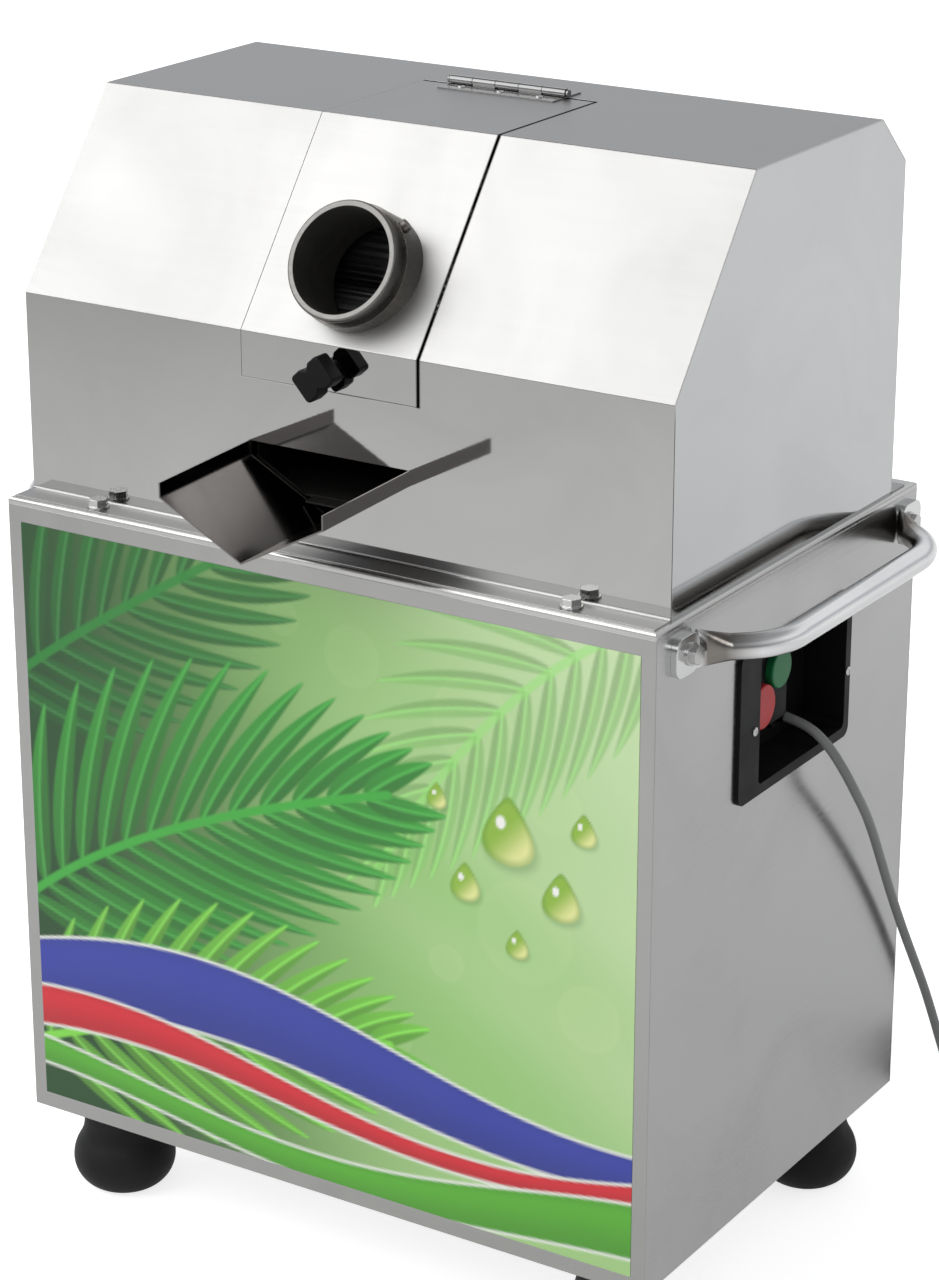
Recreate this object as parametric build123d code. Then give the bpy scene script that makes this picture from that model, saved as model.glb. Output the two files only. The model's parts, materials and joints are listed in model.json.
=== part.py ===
from build123d import *
from math import acos, atan2, cos, degrees, hypot, pi, radians, sin, sqrt, tan
import os

# A sugarcane juicer: a sheet-steel cabinet on rubber feet, with a folded hood over a three-roller mill on its deck.
# Millimetres. +X right, +Y back, +Z up. The origin is on the floor under the middle of the bounding box.

# Cabinet
cabinet_width = 560.0
cabinet_depth = 400.0
cabinet_height = 509.0
sheet = 1.2
base_thickness = 2.0
deck_thickness = 1.5
deck_edge = 5.0
deck_rounding = 2.5
angle_leg = 25.0
angle_thickness = 3.0
print_border_side = 11.5
print_border_top = 18.0
print_border_bottom = 13.0
print_thickness = 0.4

# Rubber feet
foot_height = 76.0
foot_radius = 41.0
foot_waist_radius = 31.5
foot_top_radius = 33.5
foot_base_radius = 27.0
foot_full_height = 23.0
foot_waist_height = 56.0
foot_inset = 49.0
foot_bolt_radius = 5.0
foot_bolt_depth = 40.0

# Hood
hood_side_gap = 4.0
hood_front_gap = 26.0
hood_height = 292.0
hood_wall_height = 153.0
slant_run = 106.0
hood_back_gap = 14.0
hood_chamfer_run = 40.0
hood_chamfer_drop = 37.0
hood_flange = 22.0
bend_radius = 2.0
hood_bolt_x = 205.0
hood_bolt_radius = 4.0

# Lid, hinge and latch
lid_x = -4.0
lid_width = 150.0
lid_bottom = 119.0
lid_gap = 0.4
lid_right_gap = 2.0
hinge_from_crown = 58.0
hinge_length = 101.0
hinge_knuckles = 5
knuckle_radius = 3.5
hinge_pin_radius = 1.75
hinge_leaf = 20.0
hinge_leaf_thickness = 1.2
latch_x = -1.8
latch_rise = 14.0
latch_stem_radius = 3.6
tongue_length = 30.0
tongue_width = 14.0
tongue_thickness = 3.0
knob_length = 30.0
knob_lobe = 23.0
knob_waist = 16.0
knob_depth = 13.0
knob_stand = 10.0
knob_socket = 8.0
knob_tilt = 42.0

# Feed tube
tube_x = 5.0
tube_along = 57.5
feed_angle = 27.0
tube_bore_radius = 39.0
tube_wall = 3.0
tube_out = 34.0
tube_in = 22.0
rim_width = 5.0
rim_proud = 2.0
collar_wall = 3.4
collar_length = 20.0
collar_screw_angle = 47.0

# Mill
gear_module = 3.0
gear_teeth = 21
gear_width = 18.0
gear_backlash = 0.3
roller_gap = 2.0
roller_end_gap = 3.5
roller_flutes = 30
flute_depth = 1.6
roller_shaft_radius = 12.5
running_clearance = 0.05
nip_depth = 64.0
mill_share = 0.2732
mill_plate = 10.0
mill_margin = 34.0
mill_over = 38.0
mill_brow = 30.0
gear_gap = 4.0
shaft_end = 3.0
bush_wall = 4.5
tie_bar_radius = 8.0

# Juice tray and gutter
tray_front_z = 36.0
tray_rear_z = 52.0
tray_rim_z = 102.0
spout_width = 32.0
gutter_x = -5.0
gutter_width = 137.0
gutter_reach = 107.0
gutter_drop = 3.5
gutter_lip_top = 71.5
gutter_lip = 10.5
gutter_vee = 36.0

# Waste chute
waste_width = 144.0
waste_wall = 45.0
waste_sill = 88.0
waste_slope = 0.25
waste_overhang = 60.0
waste_opening = 102.0

# Drive
gearbox_share = 0.1857
gearbox_length = 100.0
gearbox_gap = 5.0
gearbox_over = 36.0
gearbox_under = 38.0
gearbox_rounding = 8.0
gearbox_boss_radius = 34.0
gearbox_boss = 10.0
gearbox_foot = 9.0
snout_radius = 26.0
snout_gap = 6.0
stand_lip = 6.0
stand_wall = 5.0
stand_foot = 22.0
drive_bolt_radius = 4.0
worm_drop = 50.0
worm_ratio = 20.0
input_shaft_radius = 9.5
input_pulley_radius = 60.0
motor_pulley_radius = 30.0
pulley_width = 22.0
belt_top = 12.5
belt_height = 8.0
belt_clearance = 0.35
pulley_from_back = 58.0
motor_radius = 68.0
motor_length = 190.0
motor_axis_height = 92.0
motor_shaft_radius = 9.5
motor_nose = 8.0
motor_nose_radius = 26.0
motor_fan_band = 34.0
motor_front_band = 16.0
motor_band_proud = 2.0
motor_fins = 16
fin_height = 8.0
fin_thickness = 3.0
motor_foot_gap = 0.3
motor_rail = 36.0
motor_rail_height = 9.0
motor_strut = 10.0
motor_strut_inset = 30.0

# Handles
handle_radius = 9.5
handle_out = 48.0
handle_leg = 50.0
handle_bend = 55.0
handle_bolt_front = 40.0
handle_bolt_back = 22.0
handle_bolt_drop = 25.5
handle_flat_height = 29.0
handle_flat_front = 20.0
handle_flat_back = 11.0
handle_flat_thickness = 5.0
handle_flare = 24.0
handle_bolt_radius = 4.0

# Switch box on the right panel, measured back from the cabinet's front and up from its bottom
box_y0 = 118.0
box_y1 = 291.0
box_z0 = 340.0
box_z1 = 456.0
box_strip_front = 30.0
box_strip = 8.0
box_flange = 3.0
box_depth = 36.0
box_wall = 1.8
button_travel = 4.0
button_proud = 6.0
switch_depth = 17.0
start_y = 206.0
start_z = 417.0
start_radius = 15.0
stop_y = 180.0
stop_z = 395.0
stop_radius = 17.0
button_clearance = 0.3

# Mains cord
cord_radius = 3.75
cord_sides = 10
gland_y = 238.0
gland_z = 366.0
gland_out = 10.0
gland_in = 14.0
coil_radius = 50.0
coil_pitch = 8.3
coil_half_turns = 5
tie_thickness = 1.0
tie_clearance = 0.35
tie_width = 12.0
plug_length = 46.0
plug_width = 34.0
plug_height = 23.0

# Places worked out from the sizes above
half_width = cabinet_width / 2
gutter_overhang = gutter_reach - hood_front_gap
front_y = -(cabinet_depth + waste_overhang - gutter_overhang) / 2
back_y = front_y + cabinet_depth
base_z = foot_height
deck_z = base_z + cabinet_height
hood_half = half_width - hood_side_gap
wall_y = front_y + hood_front_gap
fold = (wall_y, deck_z + hood_wall_height)
brow = (wall_y + slant_run, deck_z + hood_height)
crown = (back_y - hood_back_gap - hood_flange - hood_chamfer_run, deck_z + hood_height)
shoulder = (crown[0] + hood_chamfer_run, crown[1] - hood_chamfer_drop)
slant_length = hypot(slant_run, hood_height - hood_wall_height)
slant_y = slant_run / slant_length
slant_z = (hood_height - hood_wall_height) / slant_length
hinge_y = crown[0] - hinge_from_crown
hinge_z = deck_z + hood_height + knuckle_radius
lid_x0 = lid_x - lid_width / 2
lid_x1 = lid_x + lid_width / 2
latch_z = deck_z + lid_bottom + latch_rise

# The feed axis is flatter than the slanted face's normal, and the rollers lie about the point where the cane is nipped.
tube_y = fold[0] + tube_along * slant_y
tube_z = fold[1] + tube_along * slant_z
feed_y = cos(radians(feed_angle))
feed_z = sin(radians(feed_angle))
tube_plane = Plane(origin=(tube_x, tube_y, tube_z), x_dir=(1, 0, 0), z_dir=(0, -feed_y, feed_z))
tube_radius = tube_bore_radius + tube_wall
roller_pitch = gear_module * gear_teeth
roller_radius = (roller_pitch - roller_gap) / 2
nip = (tube_y + nip_depth * feed_y, tube_z - nip_depth * feed_z)
top_axis = (nip[0] + roller_pitch / 2 * slant_y, nip[1] + roller_pitch / 2 * slant_z)
front_axis = (nip[0] - roller_pitch / 2 * slant_y, nip[1] - roller_pitch / 2 * slant_z)
rear_axis = (2 * top_axis[0] - front_axis[0], front_axis[1])
mill_gap = mill_share * cabinet_width
mill_x0 = tube_x - mill_gap / 2
mill_x1 = tube_x + mill_gap / 2
roller_length = mill_gap - 2 * roller_end_gap
gear_x0 = mill_x1 + mill_plate + gear_gap
shaft_left_x = mill_x0 - mill_plate - shaft_end
shaft_right_x = gear_x0 + gear_width + shaft_end
gearbox_x0 = shaft_right_x + gearbox_gap
gearbox_x1 = gearbox_x0 + gearbox_share * cabinet_width
drive_x = (gearbox_x0 + gearbox_x1) / 2
worm_z = top_axis[1] - worm_drop
gearbox_bottom = worm_z - gearbox_under
pulley_y = shoulder[0] - pulley_from_back
motor_z = base_z + base_thickness + motor_axis_height

os.makedirs("parts", exist_ok=True)


def save(name, *solids):
    shape = solids[0] if len(solids) == 1 else Compound(children=list(solids))
    export_step(shape, f"parts/{name}.step")


def box(x0, x1, y0, y1, z0, z1):
    return Pos((x0 + x1) / 2, (y0 + y1) / 2, (z0 + z1) / 2) * Box(x1 - x0, y1 - y0, z1 - z0)


def rod_x(x0, x1, axis, radius):
    return Pos((x0 + x1) / 2, axis[0], axis[1]) * Rot(0, 90, 0) * Cylinder(radius, x1 - x0)


def rod_y(x, y0, y1, z, radius):
    return Pos(x, (y0 + y1) / 2, z) * Rot(90, 0, 0) * Cylinder(radius, y1 - y0)


def rod_z(x, y, z0, z1, radius):
    return Pos(x, y, (z0 + z1) / 2) * Cylinder(radius, z1 - z0)


def upright(y):
    # The plane across the machine at a given depth, seen from the front.
    return Plane(origin=(0, y, 0), x_dir=(1, 0, 0), z_dir=(0, -1, 0))


def prism_x(points, x0, x1):
    face = make_face(Polyline(*points, close=True))
    return Pos(x0, 0, 0) * extrude(Plane.YZ * face, x1 - x0, dir=(1, 0, 0))


def beside(points, distance):
    # The same path moved to the right of its travel, with mitred corners.
    moved = []
    for i, (a, b) in enumerate(points):
        sides = []
        for j in (i - 1, i):
            if 0 <= j < len(points) - 1:
                dy = points[j + 1][0] - points[j][0]
                dz = points[j + 1][1] - points[j][1]
                sides.append((dz / hypot(dy, dz), -dy / hypot(dy, dz)))
        ny = sum(s[0] for s in sides)
        nz = sum(s[1] for s in sides)
        scale = distance * len(sides) / (ny * ny + nz * nz)
        moved.append((a + ny * scale, b + nz * scale))
    return moved


def bent_sheet(points, x0, x1):
    # A folded sheet whose outer face follows the points, with its metal on the right of their travel.
    inner = beside(points, sheet)
    outline = FilletPolyline(*points, radius=bend_radius).edges()
    outline += FilletPolyline(*inner, radius=bend_radius).edges()
    outline += [Line(points[0], inner[0]), Line(points[-1], inner[-1])]
    return Pos(x0, 0, 0) * extrude(Plane.YZ * make_face(outline), x1 - x0, dir=(1, 0, 0))


def hex_bolt(plane, radius, shank):
    # Head and washer above the plane, shank below it.
    washer = Pos(0, 0, 0.8) * Cylinder(2.1 * radius, 1.6)
    head = Pos(0, 0, 1.6) * extrude(RegularPolygon(1.85 * radius, 6), 1.3 * radius)
    return plane * (washer + head + Pos(0, 0, -shank / 2) * Cylinder(radius, shank))


def cabinet():
    x = half_width
    low = base_z
    high = deck_z - deck_edge
    side_y0 = front_y + sheet
    side_y1 = back_y - sheet
    save("front_panel", box(-x, x, front_y, side_y0, low, high))
    sheet_face = box(-x + print_border_side, x - print_border_side, front_y - print_thickness, front_y,
                     low + print_border_bottom, deck_z - print_border_top)
    save("front_print", sheet_face)

    left = box(-x, -x + sheet, side_y0, side_y1, low, high)
    right = box(x - sheet, x, side_y0, side_y1, low, high)
    right -= box(x - 2 * sheet, x + sheet, front_y + box_y0 + box_strip_front - box_wall - 0.5,
                 front_y + box_y1 - box_strip + box_wall + 0.5, low + box_z0 + box_strip - box_wall - 0.5,
                 low + box_z1 - box_strip + box_wall + 0.5)
    for y in (front_y + handle_bolt_front, back_y - handle_bolt_back):
        hole = rod_x(-x - 1, x + 1, (y, deck_z - handle_bolt_drop), handle_bolt_radius + 0.2)
        left -= hole
        right -= hole
    save("left_panel", left)
    save("right_panel", right)

    rear = box(-x, x, side_y1, back_y, low, high)
    slot = extrude(Plane.XZ * SlotOverall(90, 7), 3 * sheet, both=True)
    for column in (-90, 90):
        for row in range(7):
            rear -= Pos(column, back_y, low + 70 + 20 * row) * slot
    save("rear_panel", rear)

    floor = box(-x + sheet, x - sheet, side_y0, side_y1, low, low + base_thickness)
    feet_y = (front_y + foot_inset, back_y - foot_inset)
    feet_at = [(sx * (x - foot_inset), y) for sx in (-1, 1) for y in feet_y]
    for px, py in feet_at:
        floor -= rod_z(px, py, low - 1, low + base_thickness + 1, foot_bolt_radius + 0.2)
    save("base_plate", floor)

    # The deck's edge is folded down over the frame, flush with the panels.
    under = deck_z - deck_thickness
    deck = box(-x, x, front_y, back_y, high, deck_z)
    deck = fillet(deck.faces().sort_by(Axis.Z)[-1].edges(), deck_rounding)
    deck -= box(-x + sheet, x - sheet, side_y0, side_y1, high - 1, under)
    slot_half = input_pulley_radius + belt_top
    deck -= box(drive_x - slot_half, drive_x + slot_half, pulley_y - pulley_width, pulley_y + pulley_width,
                high - 1, deck_z + 1)
    for px, py in hood_bolt_places():
        deck -= rod_z(px, py, high - 1, deck_z + 1, hood_bolt_radius + 0.2)
    save("deck", deck)
    angle_frame(side_y0, side_y1, low + base_thickness, under)
    rubber_feet(feet_at)


def angle_frame(y0, y1, z0, z1):
    # Four angle posts with an angle rail round the top and the bottom, welded into one frame.
    x = half_width - sheet
    leg = angle_leg
    outside = box(-x, x, y0, y1, z0, z1)
    wall = angle_thickness
    core = box(-x + wall, x - wall, y0 + wall, y1 - wall, z0 + wall, z1 - wall)
    windows = box(-x + leg, x - leg, y0 - 1, y1 + 1, z0 + leg, z1 - leg)
    windows += box(-x - 1, x + 1, y0 + leg, y1 - leg, z0 + leg, z1 - leg)
    windows += box(-x + leg, x - leg, y0 + leg, y1 - leg, z0 - 1, z1 + 1)
    save("frame", outside - core - windows)


def rubber_feet(places):
    # A bell: narrow at the waist, full near the floor and rounded under.
    sole = (foot_base_radius, 0)
    full = (foot_radius, foot_full_height)
    waist = (foot_waist_radius, foot_waist_height)
    top = (foot_top_radius, foot_height)
    under = RadiusArc(sole, full, -1.15 * foot_full_height)
    half_way = ((foot_radius + foot_waist_radius) / 2, (foot_full_height + foot_waist_height) / 2)
    belly = TangentArc(full, half_way, tangent=(0, 1))
    neck = TangentArc(half_way, waist, tangent=belly % 1)
    flare = TangentArc(waist, top, tangent=neck % 1)
    outline = [Line((0, 0), sole), under, belly, neck, flare]
    outline += [Line(top, (0, foot_height)), Line((0, foot_height), (0, 0))]
    foot = revolve(Plane.XZ * make_face(outline), Axis.Z)
    foot -= rod_z(0, 0, foot_height - foot_bolt_depth, foot_height + 1, foot_bolt_radius + 0.1)
    names = ("foot_front_left", "foot_rear_left", "foot_front_right", "foot_rear_right")
    bolts = []
    for name, (px, py) in zip(names, places):
        save(name, Pos(px, py, 0) * foot)
        seat = Plane((px, py, base_z + base_thickness))
        bolts.append(hex_bolt(seat, foot_bolt_radius, base_thickness + foot_bolt_depth - 2))
    save("foot_bolts", *bolts)


def hood_bolt_places():
    rear = shoulder[0] + hood_flange / 2
    return [(sx * hood_bolt_x, y) for sx in (-1, 1) for y in (wall_y - hood_flange / 2 - 1, rear)]


def hood():
    foot_z = deck_z + sheet
    skin_path = [(wall_y - hood_flange, foot_z), (wall_y, foot_z), fold, brow, crown, shoulder,
                 (shoulder[0], foot_z), (shoulder[0] + hood_flange, foot_z)]
    skin = bent_sheet(skin_path, -hood_half, hood_half)
    sill = deck_z + lid_bottom - lid_gap
    edge = hinge_y + 0.45 * knuckle_radius
    over = crown[1] + 20
    doorway = [(wall_y - 20, sill), (wall_y + 20, sill), (edge, crown[1] - 40), (edge, over),
               (wall_y - 20, over)]
    skin -= prism_x(doorway, lid_x0 - lid_gap, lid_x1 + lid_right_gap)

    # Juice leaves by an opening that follows the gutter, and waste by a window in the back.
    skin -= extrude(upright(wall_y) * juice_opening(sheet), 3 * sheet, both=True)
    half = waste_width / 2 + 0.3
    skin -= box(tube_x - half, tube_x + half, shoulder[0] - 10, shoulder[0] + 10,
                deck_z + waste_sill - 2, deck_z + waste_sill + waste_opening)
    bolts = []
    for px, py in hood_bolt_places():
        skin -= rod_z(px, py, deck_z - 1, foot_z + 1, hood_bolt_radius + 0.2)
        bolts.append(hex_bolt(Plane((px, py, foot_z)), hood_bolt_radius, sheet + deck_thickness))
    save("hood_skin", skin)

    inner = beside(skin_path, sheet)[1:-1]
    rim = FilletPolyline(*inner, radius=bend_radius)
    side = make_face(rim.edges() + [Line(inner[-1], inner[0])])
    side = extrude(Plane.YZ * side, sheet, dir=(1, 0, 0))
    save("hood_left_side", Pos(-hood_half, 0, 0) * side)
    save("hood_right_side", Pos(hood_half - sheet, 0, 0) * side)
    return bolts


def juice_opening(inset):
    # The gutter's own section at the wall, drawn in at its sides.
    half = gutter_width / 2 - inset
    top = deck_z + gutter_lip_top
    low = top - gutter_lip
    vee_z = low - gutter_vee + inset * 2 * gutter_vee / gutter_width
    return make_face(Polyline((gutter_x, vee_z), (gutter_x + half, low), (gutter_x + half, top),
                              (gutter_x - half, top), (gutter_x - half, low), close=True))


def lid():
    back = hinge_y - 0.6 * knuckle_radius
    panel = bent_sheet([(wall_y, deck_z + lid_bottom), fold, brow, (back, crown[1])], lid_x0, lid_x1)
    panel -= tube_plane * Cylinder(tube_radius + 0.1, 20)
    panel -= rod_y(latch_x, wall_y - 5, wall_y + 5, latch_z, latch_stem_radius + running_clearance)
    save("lid_panel", panel)

    # The tube has a rolled rim at its mouth and slides in a collar that is cut to the slant and welded to the lid.
    out = tube_out
    outline = Polyline((tube_bore_radius, -tube_in), (tube_radius, -tube_in), (tube_radius, out - rim_width),
                       (tube_radius + rim_proud, out - rim_width), (tube_radius + rim_proud, out),
                       (tube_bore_radius, out), close=True)
    mouth = make_face(outline)
    lip = [v for v in mouth.vertices() if v.Y > out - rim_width - 0.1 and v.X > tube_radius + 0.1]
    mouth = fillet(lip, 0.9 * rim_proud)
    save("feed_tube", tube_plane * revolve(Plane.XZ * mouth, Axis.Z))
    reach = tube_radius + collar_wall
    collar = Pos(0, 0, collar_length - reach / 2) * (Cylinder(reach, reach) - Cylinder(tube_radius + 0.02, reach))
    face = Plane(origin=tube_plane.origin, x_dir=(1, 0, 0), z_dir=(0, -slant_z, slant_y))
    turn = Rot(0, 0, collar_screw_angle) * Pos(0, 0, collar_length - 6)
    collar -= turn * Rot(0, 90, 0) * Pos(0, 0, reach) * Cylinder(2.6, 4 * collar_wall)
    save("tube_collar", tube_plane * collar - face * Pos(0, 0, -reach) * Box(4 * reach, 4 * reach, 2 * reach))
    screw = Rot(0, 90, 0) * (Pos(0, 0, reach + 2) * Cylinder(4.5, 4) + Pos(0, 0, reach - collar_wall / 2 + 0.2)
                             * Cylinder(2.5, collar_wall - 0.4))
    save("collar_screw", tube_plane * turn * screw)


def hinge():
    # Knuckles alternate along the pin: odd ones belong to the hood's leaf and even ones to the lid's.
    step = hinge_length / hinge_knuckles
    x0 = lid_x - hinge_length / 2
    low = deck_z + hood_height
    clear = 1.2 * knuckle_radius
    leaves = []
    for side in (1, -1):
        y0 = hinge_y + side * clear
        y1 = hinge_y + side * hinge_leaf
        leaf = box(x0, x0 + hinge_length, min(y0, y1), max(y0, y1), low, low + hinge_leaf_thickness)
        for k in range(0 if side == 1 else 1, hinge_knuckles, 2):
            xa = x0 + k * step + 0.2
            xb = x0 + (k + 1) * step - 0.2
            leaf += rod_x(xa, xb, (hinge_y, hinge_z), knuckle_radius)
            leaf += box(xa, xb, min(hinge_y, y0), max(hinge_y, y0), low, low + hinge_leaf_thickness)
        leaves.append(leaf - rod_x(x0 - 1, x0 + hinge_length + 1, (hinge_y, hinge_z),
                                   hinge_pin_radius + running_clearance))
    save("hinge_hood_leaf", leaves[0])
    save("hinge_lid_leaf", leaves[1])
    pin = rod_x(x0 - 0.5, x0 + hinge_length + 0.5, (hinge_y, hinge_z), hinge_pin_radius)
    for xa in (x0 - 2, x0 + hinge_length + 0.5):
        pin += rod_x(xa, xa + 1.5, (hinge_y, hinge_z), 0.8 * knuckle_radius)
    save("hinge_pin", pin)


def latch():
    # A quarter-turn wing knob: its tongue lies level at rest and swings down behind the hood's wall.
    half = knob_length / 2
    wing = make_face(Polyline((0, knob_waist / 2), (0.3 * half, knob_lobe / 2), (half, knob_lobe / 2),
                              (half, -knob_lobe / 2), (0.3 * half, -knob_lobe / 2), (0, -knob_waist / 2),
                              (-0.3 * half, -knob_lobe / 2), (-half, -knob_lobe / 2), (-half, knob_lobe / 2),
                              (-0.3 * half, knob_lobe / 2), close=True))
    lobes = [v for v in wing.vertices() if abs(v.X) > 1]
    wing = extrude(fillet(lobes, 0.15 * knob_lobe), knob_depth)
    wing = fillet(wing.faces().sort_by(Axis.Z)[-1].edges(), 0.12 * knob_depth)
    boss = Pos(0, 0, -knob_stand / 2) * Cylinder(0.45 * knob_waist, knob_stand)
    knob = wing + boss
    knob -= Pos(0, 0, (knob_socket - knob_stand) / 2) * Cylinder(latch_stem_radius, knob_stand + knob_socket)
    place = Plane((latch_x, wall_y - knob_stand - 0.3, latch_z), x_dir=(1, 0, 0), z_dir=(0, -1, 0))
    save("wing_knob", place * Rot(0, 0, knob_tilt) * knob)

    inside = wall_y + sheet + 1
    stem = rod_y(latch_x, wall_y - knob_stand - knob_socket - 0.3, inside + tongue_thickness, latch_z, latch_stem_radius)
    blade = box(latch_x - tongue_width / 2, latch_x + tongue_length, inside, inside + tongue_thickness,
                latch_z - tongue_width / 2, latch_z + tongue_width / 2)
    save("latch_tongue", stem + fillet(blade.edges().filter_by(Axis.Y), 0.4 * tongue_width))


def gear(bore):
    # Involute teeth, thinned for backlash. The first tooth points along the local X axis.
    pitch = gear_module * gear_teeth / 2
    base = pitch * cos(radians(20))
    radii = (pitch - 1.25 * gear_module, base, pitch, pitch + gear_module)
    half_pitch = pi / (2 * gear_teeth) - gear_backlash / (4 * pitch) + tan(radians(20)) - radians(20)
    halves = []
    for r in radii:
        a = acos(min(base / r, 1))
        halves.append(half_pitch - tan(a) + a)
    points = []
    for k in range(gear_teeth):
        middle = 2 * pi * k / gear_teeth
        flank = [(r, middle - h) for r, h in zip(radii, halves)]
        flank += [(r, middle + h) for r, h in reversed(list(zip(radii, halves)))]
        points += [(r * cos(a), r * sin(a)) for r, a in flank]
    return extrude(make_face(Polyline(*points, close=True)) - Circle(bore), gear_width)


def roller(axis, right_x):
    # A fluted barrel with its shaft.
    x0 = tube_x - roller_length / 2
    points = []
    for k in range(roller_flutes):
        for share, r in ((0.0, roller_radius), (0.55, roller_radius), (0.78, roller_radius - flute_depth)):
            a = 2 * pi * (k + share) / roller_flutes
            points.append((axis[0] + r * cos(a), axis[1] + r * sin(a)))
    return prism_x(points, x0, x0 + roller_length) + rod_x(shaft_left_x, right_x, axis, roller_shaft_radius)


def mill():
    save("top_roller", roller(top_axis, gearbox_x1 + 8))
    save("front_roller", roller(front_axis, shaft_right_x))
    save("rear_roller", roller(rear_axis, shaft_right_x))

    # The top gear has a tooth on the line to the front gear. A tooth that stands off a line of centres by some
    # angle faces a gap that stands off by the same angle the other way.
    tooth = 360 / gear_teeth
    to_front = degrees(atan2(front_axis[1] - top_axis[1], front_axis[0] - top_axis[0]))
    wheel = Plane.YZ * gear(roller_shaft_radius)
    phases = [("top_gear", top_axis, to_front)]
    for name, axis in (("front_gear", front_axis), ("rear_gear", rear_axis)):
        line = degrees(atan2(axis[1] - top_axis[1], axis[0] - top_axis[0]))
        phases.append((name, axis, line + 180 - (to_front - line) + tooth / 2))
    for name, axis, phase in phases:
        save(name, Pos(gear_x0, axis[0], axis[1]) * Rot(phase, 0, 0) * wheel)

    y0 = front_axis[0] - mill_margin
    y1 = rear_axis[0] + mill_margin
    top = top_axis[1] + mill_over
    outline = [(y0, deck_z), (y1, deck_z), (y1, top), (top_axis[0] - mill_brow, top),
               (y0, front_axis[1] + mill_brow)]
    bush_radius = roller_shaft_radius + bush_wall
    tray = tray_height()
    bars_at = [(y1 - 14, top - 12)]
    bars_at += [(y, tray(y) - tie_bar_radius - 0.8) for y in (y0 + 16, y1 - 16)]
    bushes = []
    for name, x0 in (("mill_left_plate", mill_x0 - mill_plate), ("mill_right_plate", mill_x1)):
        plate = prism_x(outline, x0, x0 + mill_plate)
        for axis in (top_axis, front_axis, rear_axis):
            plate -= rod_x(x0 - 1, x0 + mill_plate + 1, axis, bush_radius + 0.02)
            bush = rod_x(x0, x0 + mill_plate, axis, bush_radius)
            bush -= rod_x(x0 - 1, x0 + mill_plate + 1, axis, roller_shaft_radius + running_clearance)
            bushes.append(bush)
        save(name, plate)
    save("roller_bushes", *bushes)
    save("mill_tie_bars", *[rod_x(mill_x0, mill_x1, at, tie_bar_radius) for at in bars_at])


def tray_height():
    # Height of the tray floor's underside at a given depth.
    y0 = wall_y + sheet + 3
    y1 = rear_axis[0] + mill_margin + 3
    rise = (tray_rear_z - tray_front_z) / (y1 - y0)
    return lambda y: deck_z + tray_front_z + rise * (y - y0)


def juice_path():
    # A sloping tray under the rollers, with a spout through the hood's wall.
    under = tray_height()
    y0 = wall_y + sheet + 3
    y1 = rear_axis[0] + mill_margin + 3
    x0 = mill_x0 + 0.6
    x1 = mill_x1 - 0.6
    rim = deck_z + tray_rim_z
    tray = prism_x([(y0, under(y0)), (y1, under(y1)), (y1, rim), (y0, rim)], x0, x1)
    a = y0 + sheet
    b = y1 - sheet
    hollow = [(a, under(a) + sheet), (b, under(b) + sheet), (b, rim + 1), (a, rim + 1)]
    tray -= prism_x(hollow, x0 + sheet, x1 - sheet)
    mouth = extrude(upright(y0) * juice_opening(sheet), 1.5 * sheet, both=True)
    tray -= mouth - box(x0, x1, y0 - 9, y0 + 9, deck_z, under(y0) + sheet)
    tip = wall_y - 6
    spout = [(tip, under(tip)), (a, under(a)), (a, under(a) + sheet), (tip, under(tip) + sheet)]
    tray += prism_x(spout, gutter_x - spout_width / 2, gutter_x + spout_width / 2)
    save("juice_tray", tray)

    # The gutter is a vee with upright lips, welded to the wall and running down to the front.
    half = gutter_width / 2
    top = deck_z + gutter_lip_top
    low = top - gutter_lip
    path = [(gutter_x - half, top), (gutter_x - half, low), (gutter_x, low - gutter_vee), (gutter_x + half, low),
            (gutter_x + half, top)]
    outer = beside(path, sheet)
    section = make_face(Polyline(*path, *reversed(outer), close=True))
    section = upright(wall_y) * section
    run = Vector(0, -gutter_reach, -gutter_drop)
    save("juice_gutter", extrude(section, run.length, dir=run.normalized()))


def waste_chute():
    y0 = rear_axis[0] + mill_margin + 2
    y1 = back_y + waste_overhang
    half = waste_width / 2

    def sill(y):
        return deck_z + waste_sill - (y - shoulder[0]) * waste_slope

    def slab(lift, top):
        return [(y0, sill(y0) + lift), (y1, sill(y1) + lift), (y1, sill(y1) + top), (y0, sill(y0) + top)]

    chute = prism_x(slab(0, waste_wall), tube_x - half, tube_x + half)
    chute -= prism_x(slab(sheet, waste_wall + 9), tube_x - half + sheet, tube_x + half - sheet)
    save("waste_chute", chute)


def grooved_pulley(pitch_radius, bore):
    # Revolved about Z: a rim with a vee groove that clears the belt all round.
    half = pulley_width / 2
    top = pitch_radius + 3
    floor = pitch_radius + 3 - belt_height - 2.5
    mouth = belt_top / 2 + belt_clearance
    neck = belt_half(pitch_radius + 3 - floor) + belt_clearance
    section = Polyline((bore, -half), (top, -half), (top, -mouth), (floor, -neck), (floor, neck), (top, mouth),
                       (top, half), (bore, half), close=True)
    return revolve(Plane.XZ * make_face(section), Axis.Z)


def belt_half(depth):
    # Half the belt's width at a depth below its back.
    return belt_top / 2 - depth * tan(radians(18))


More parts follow.
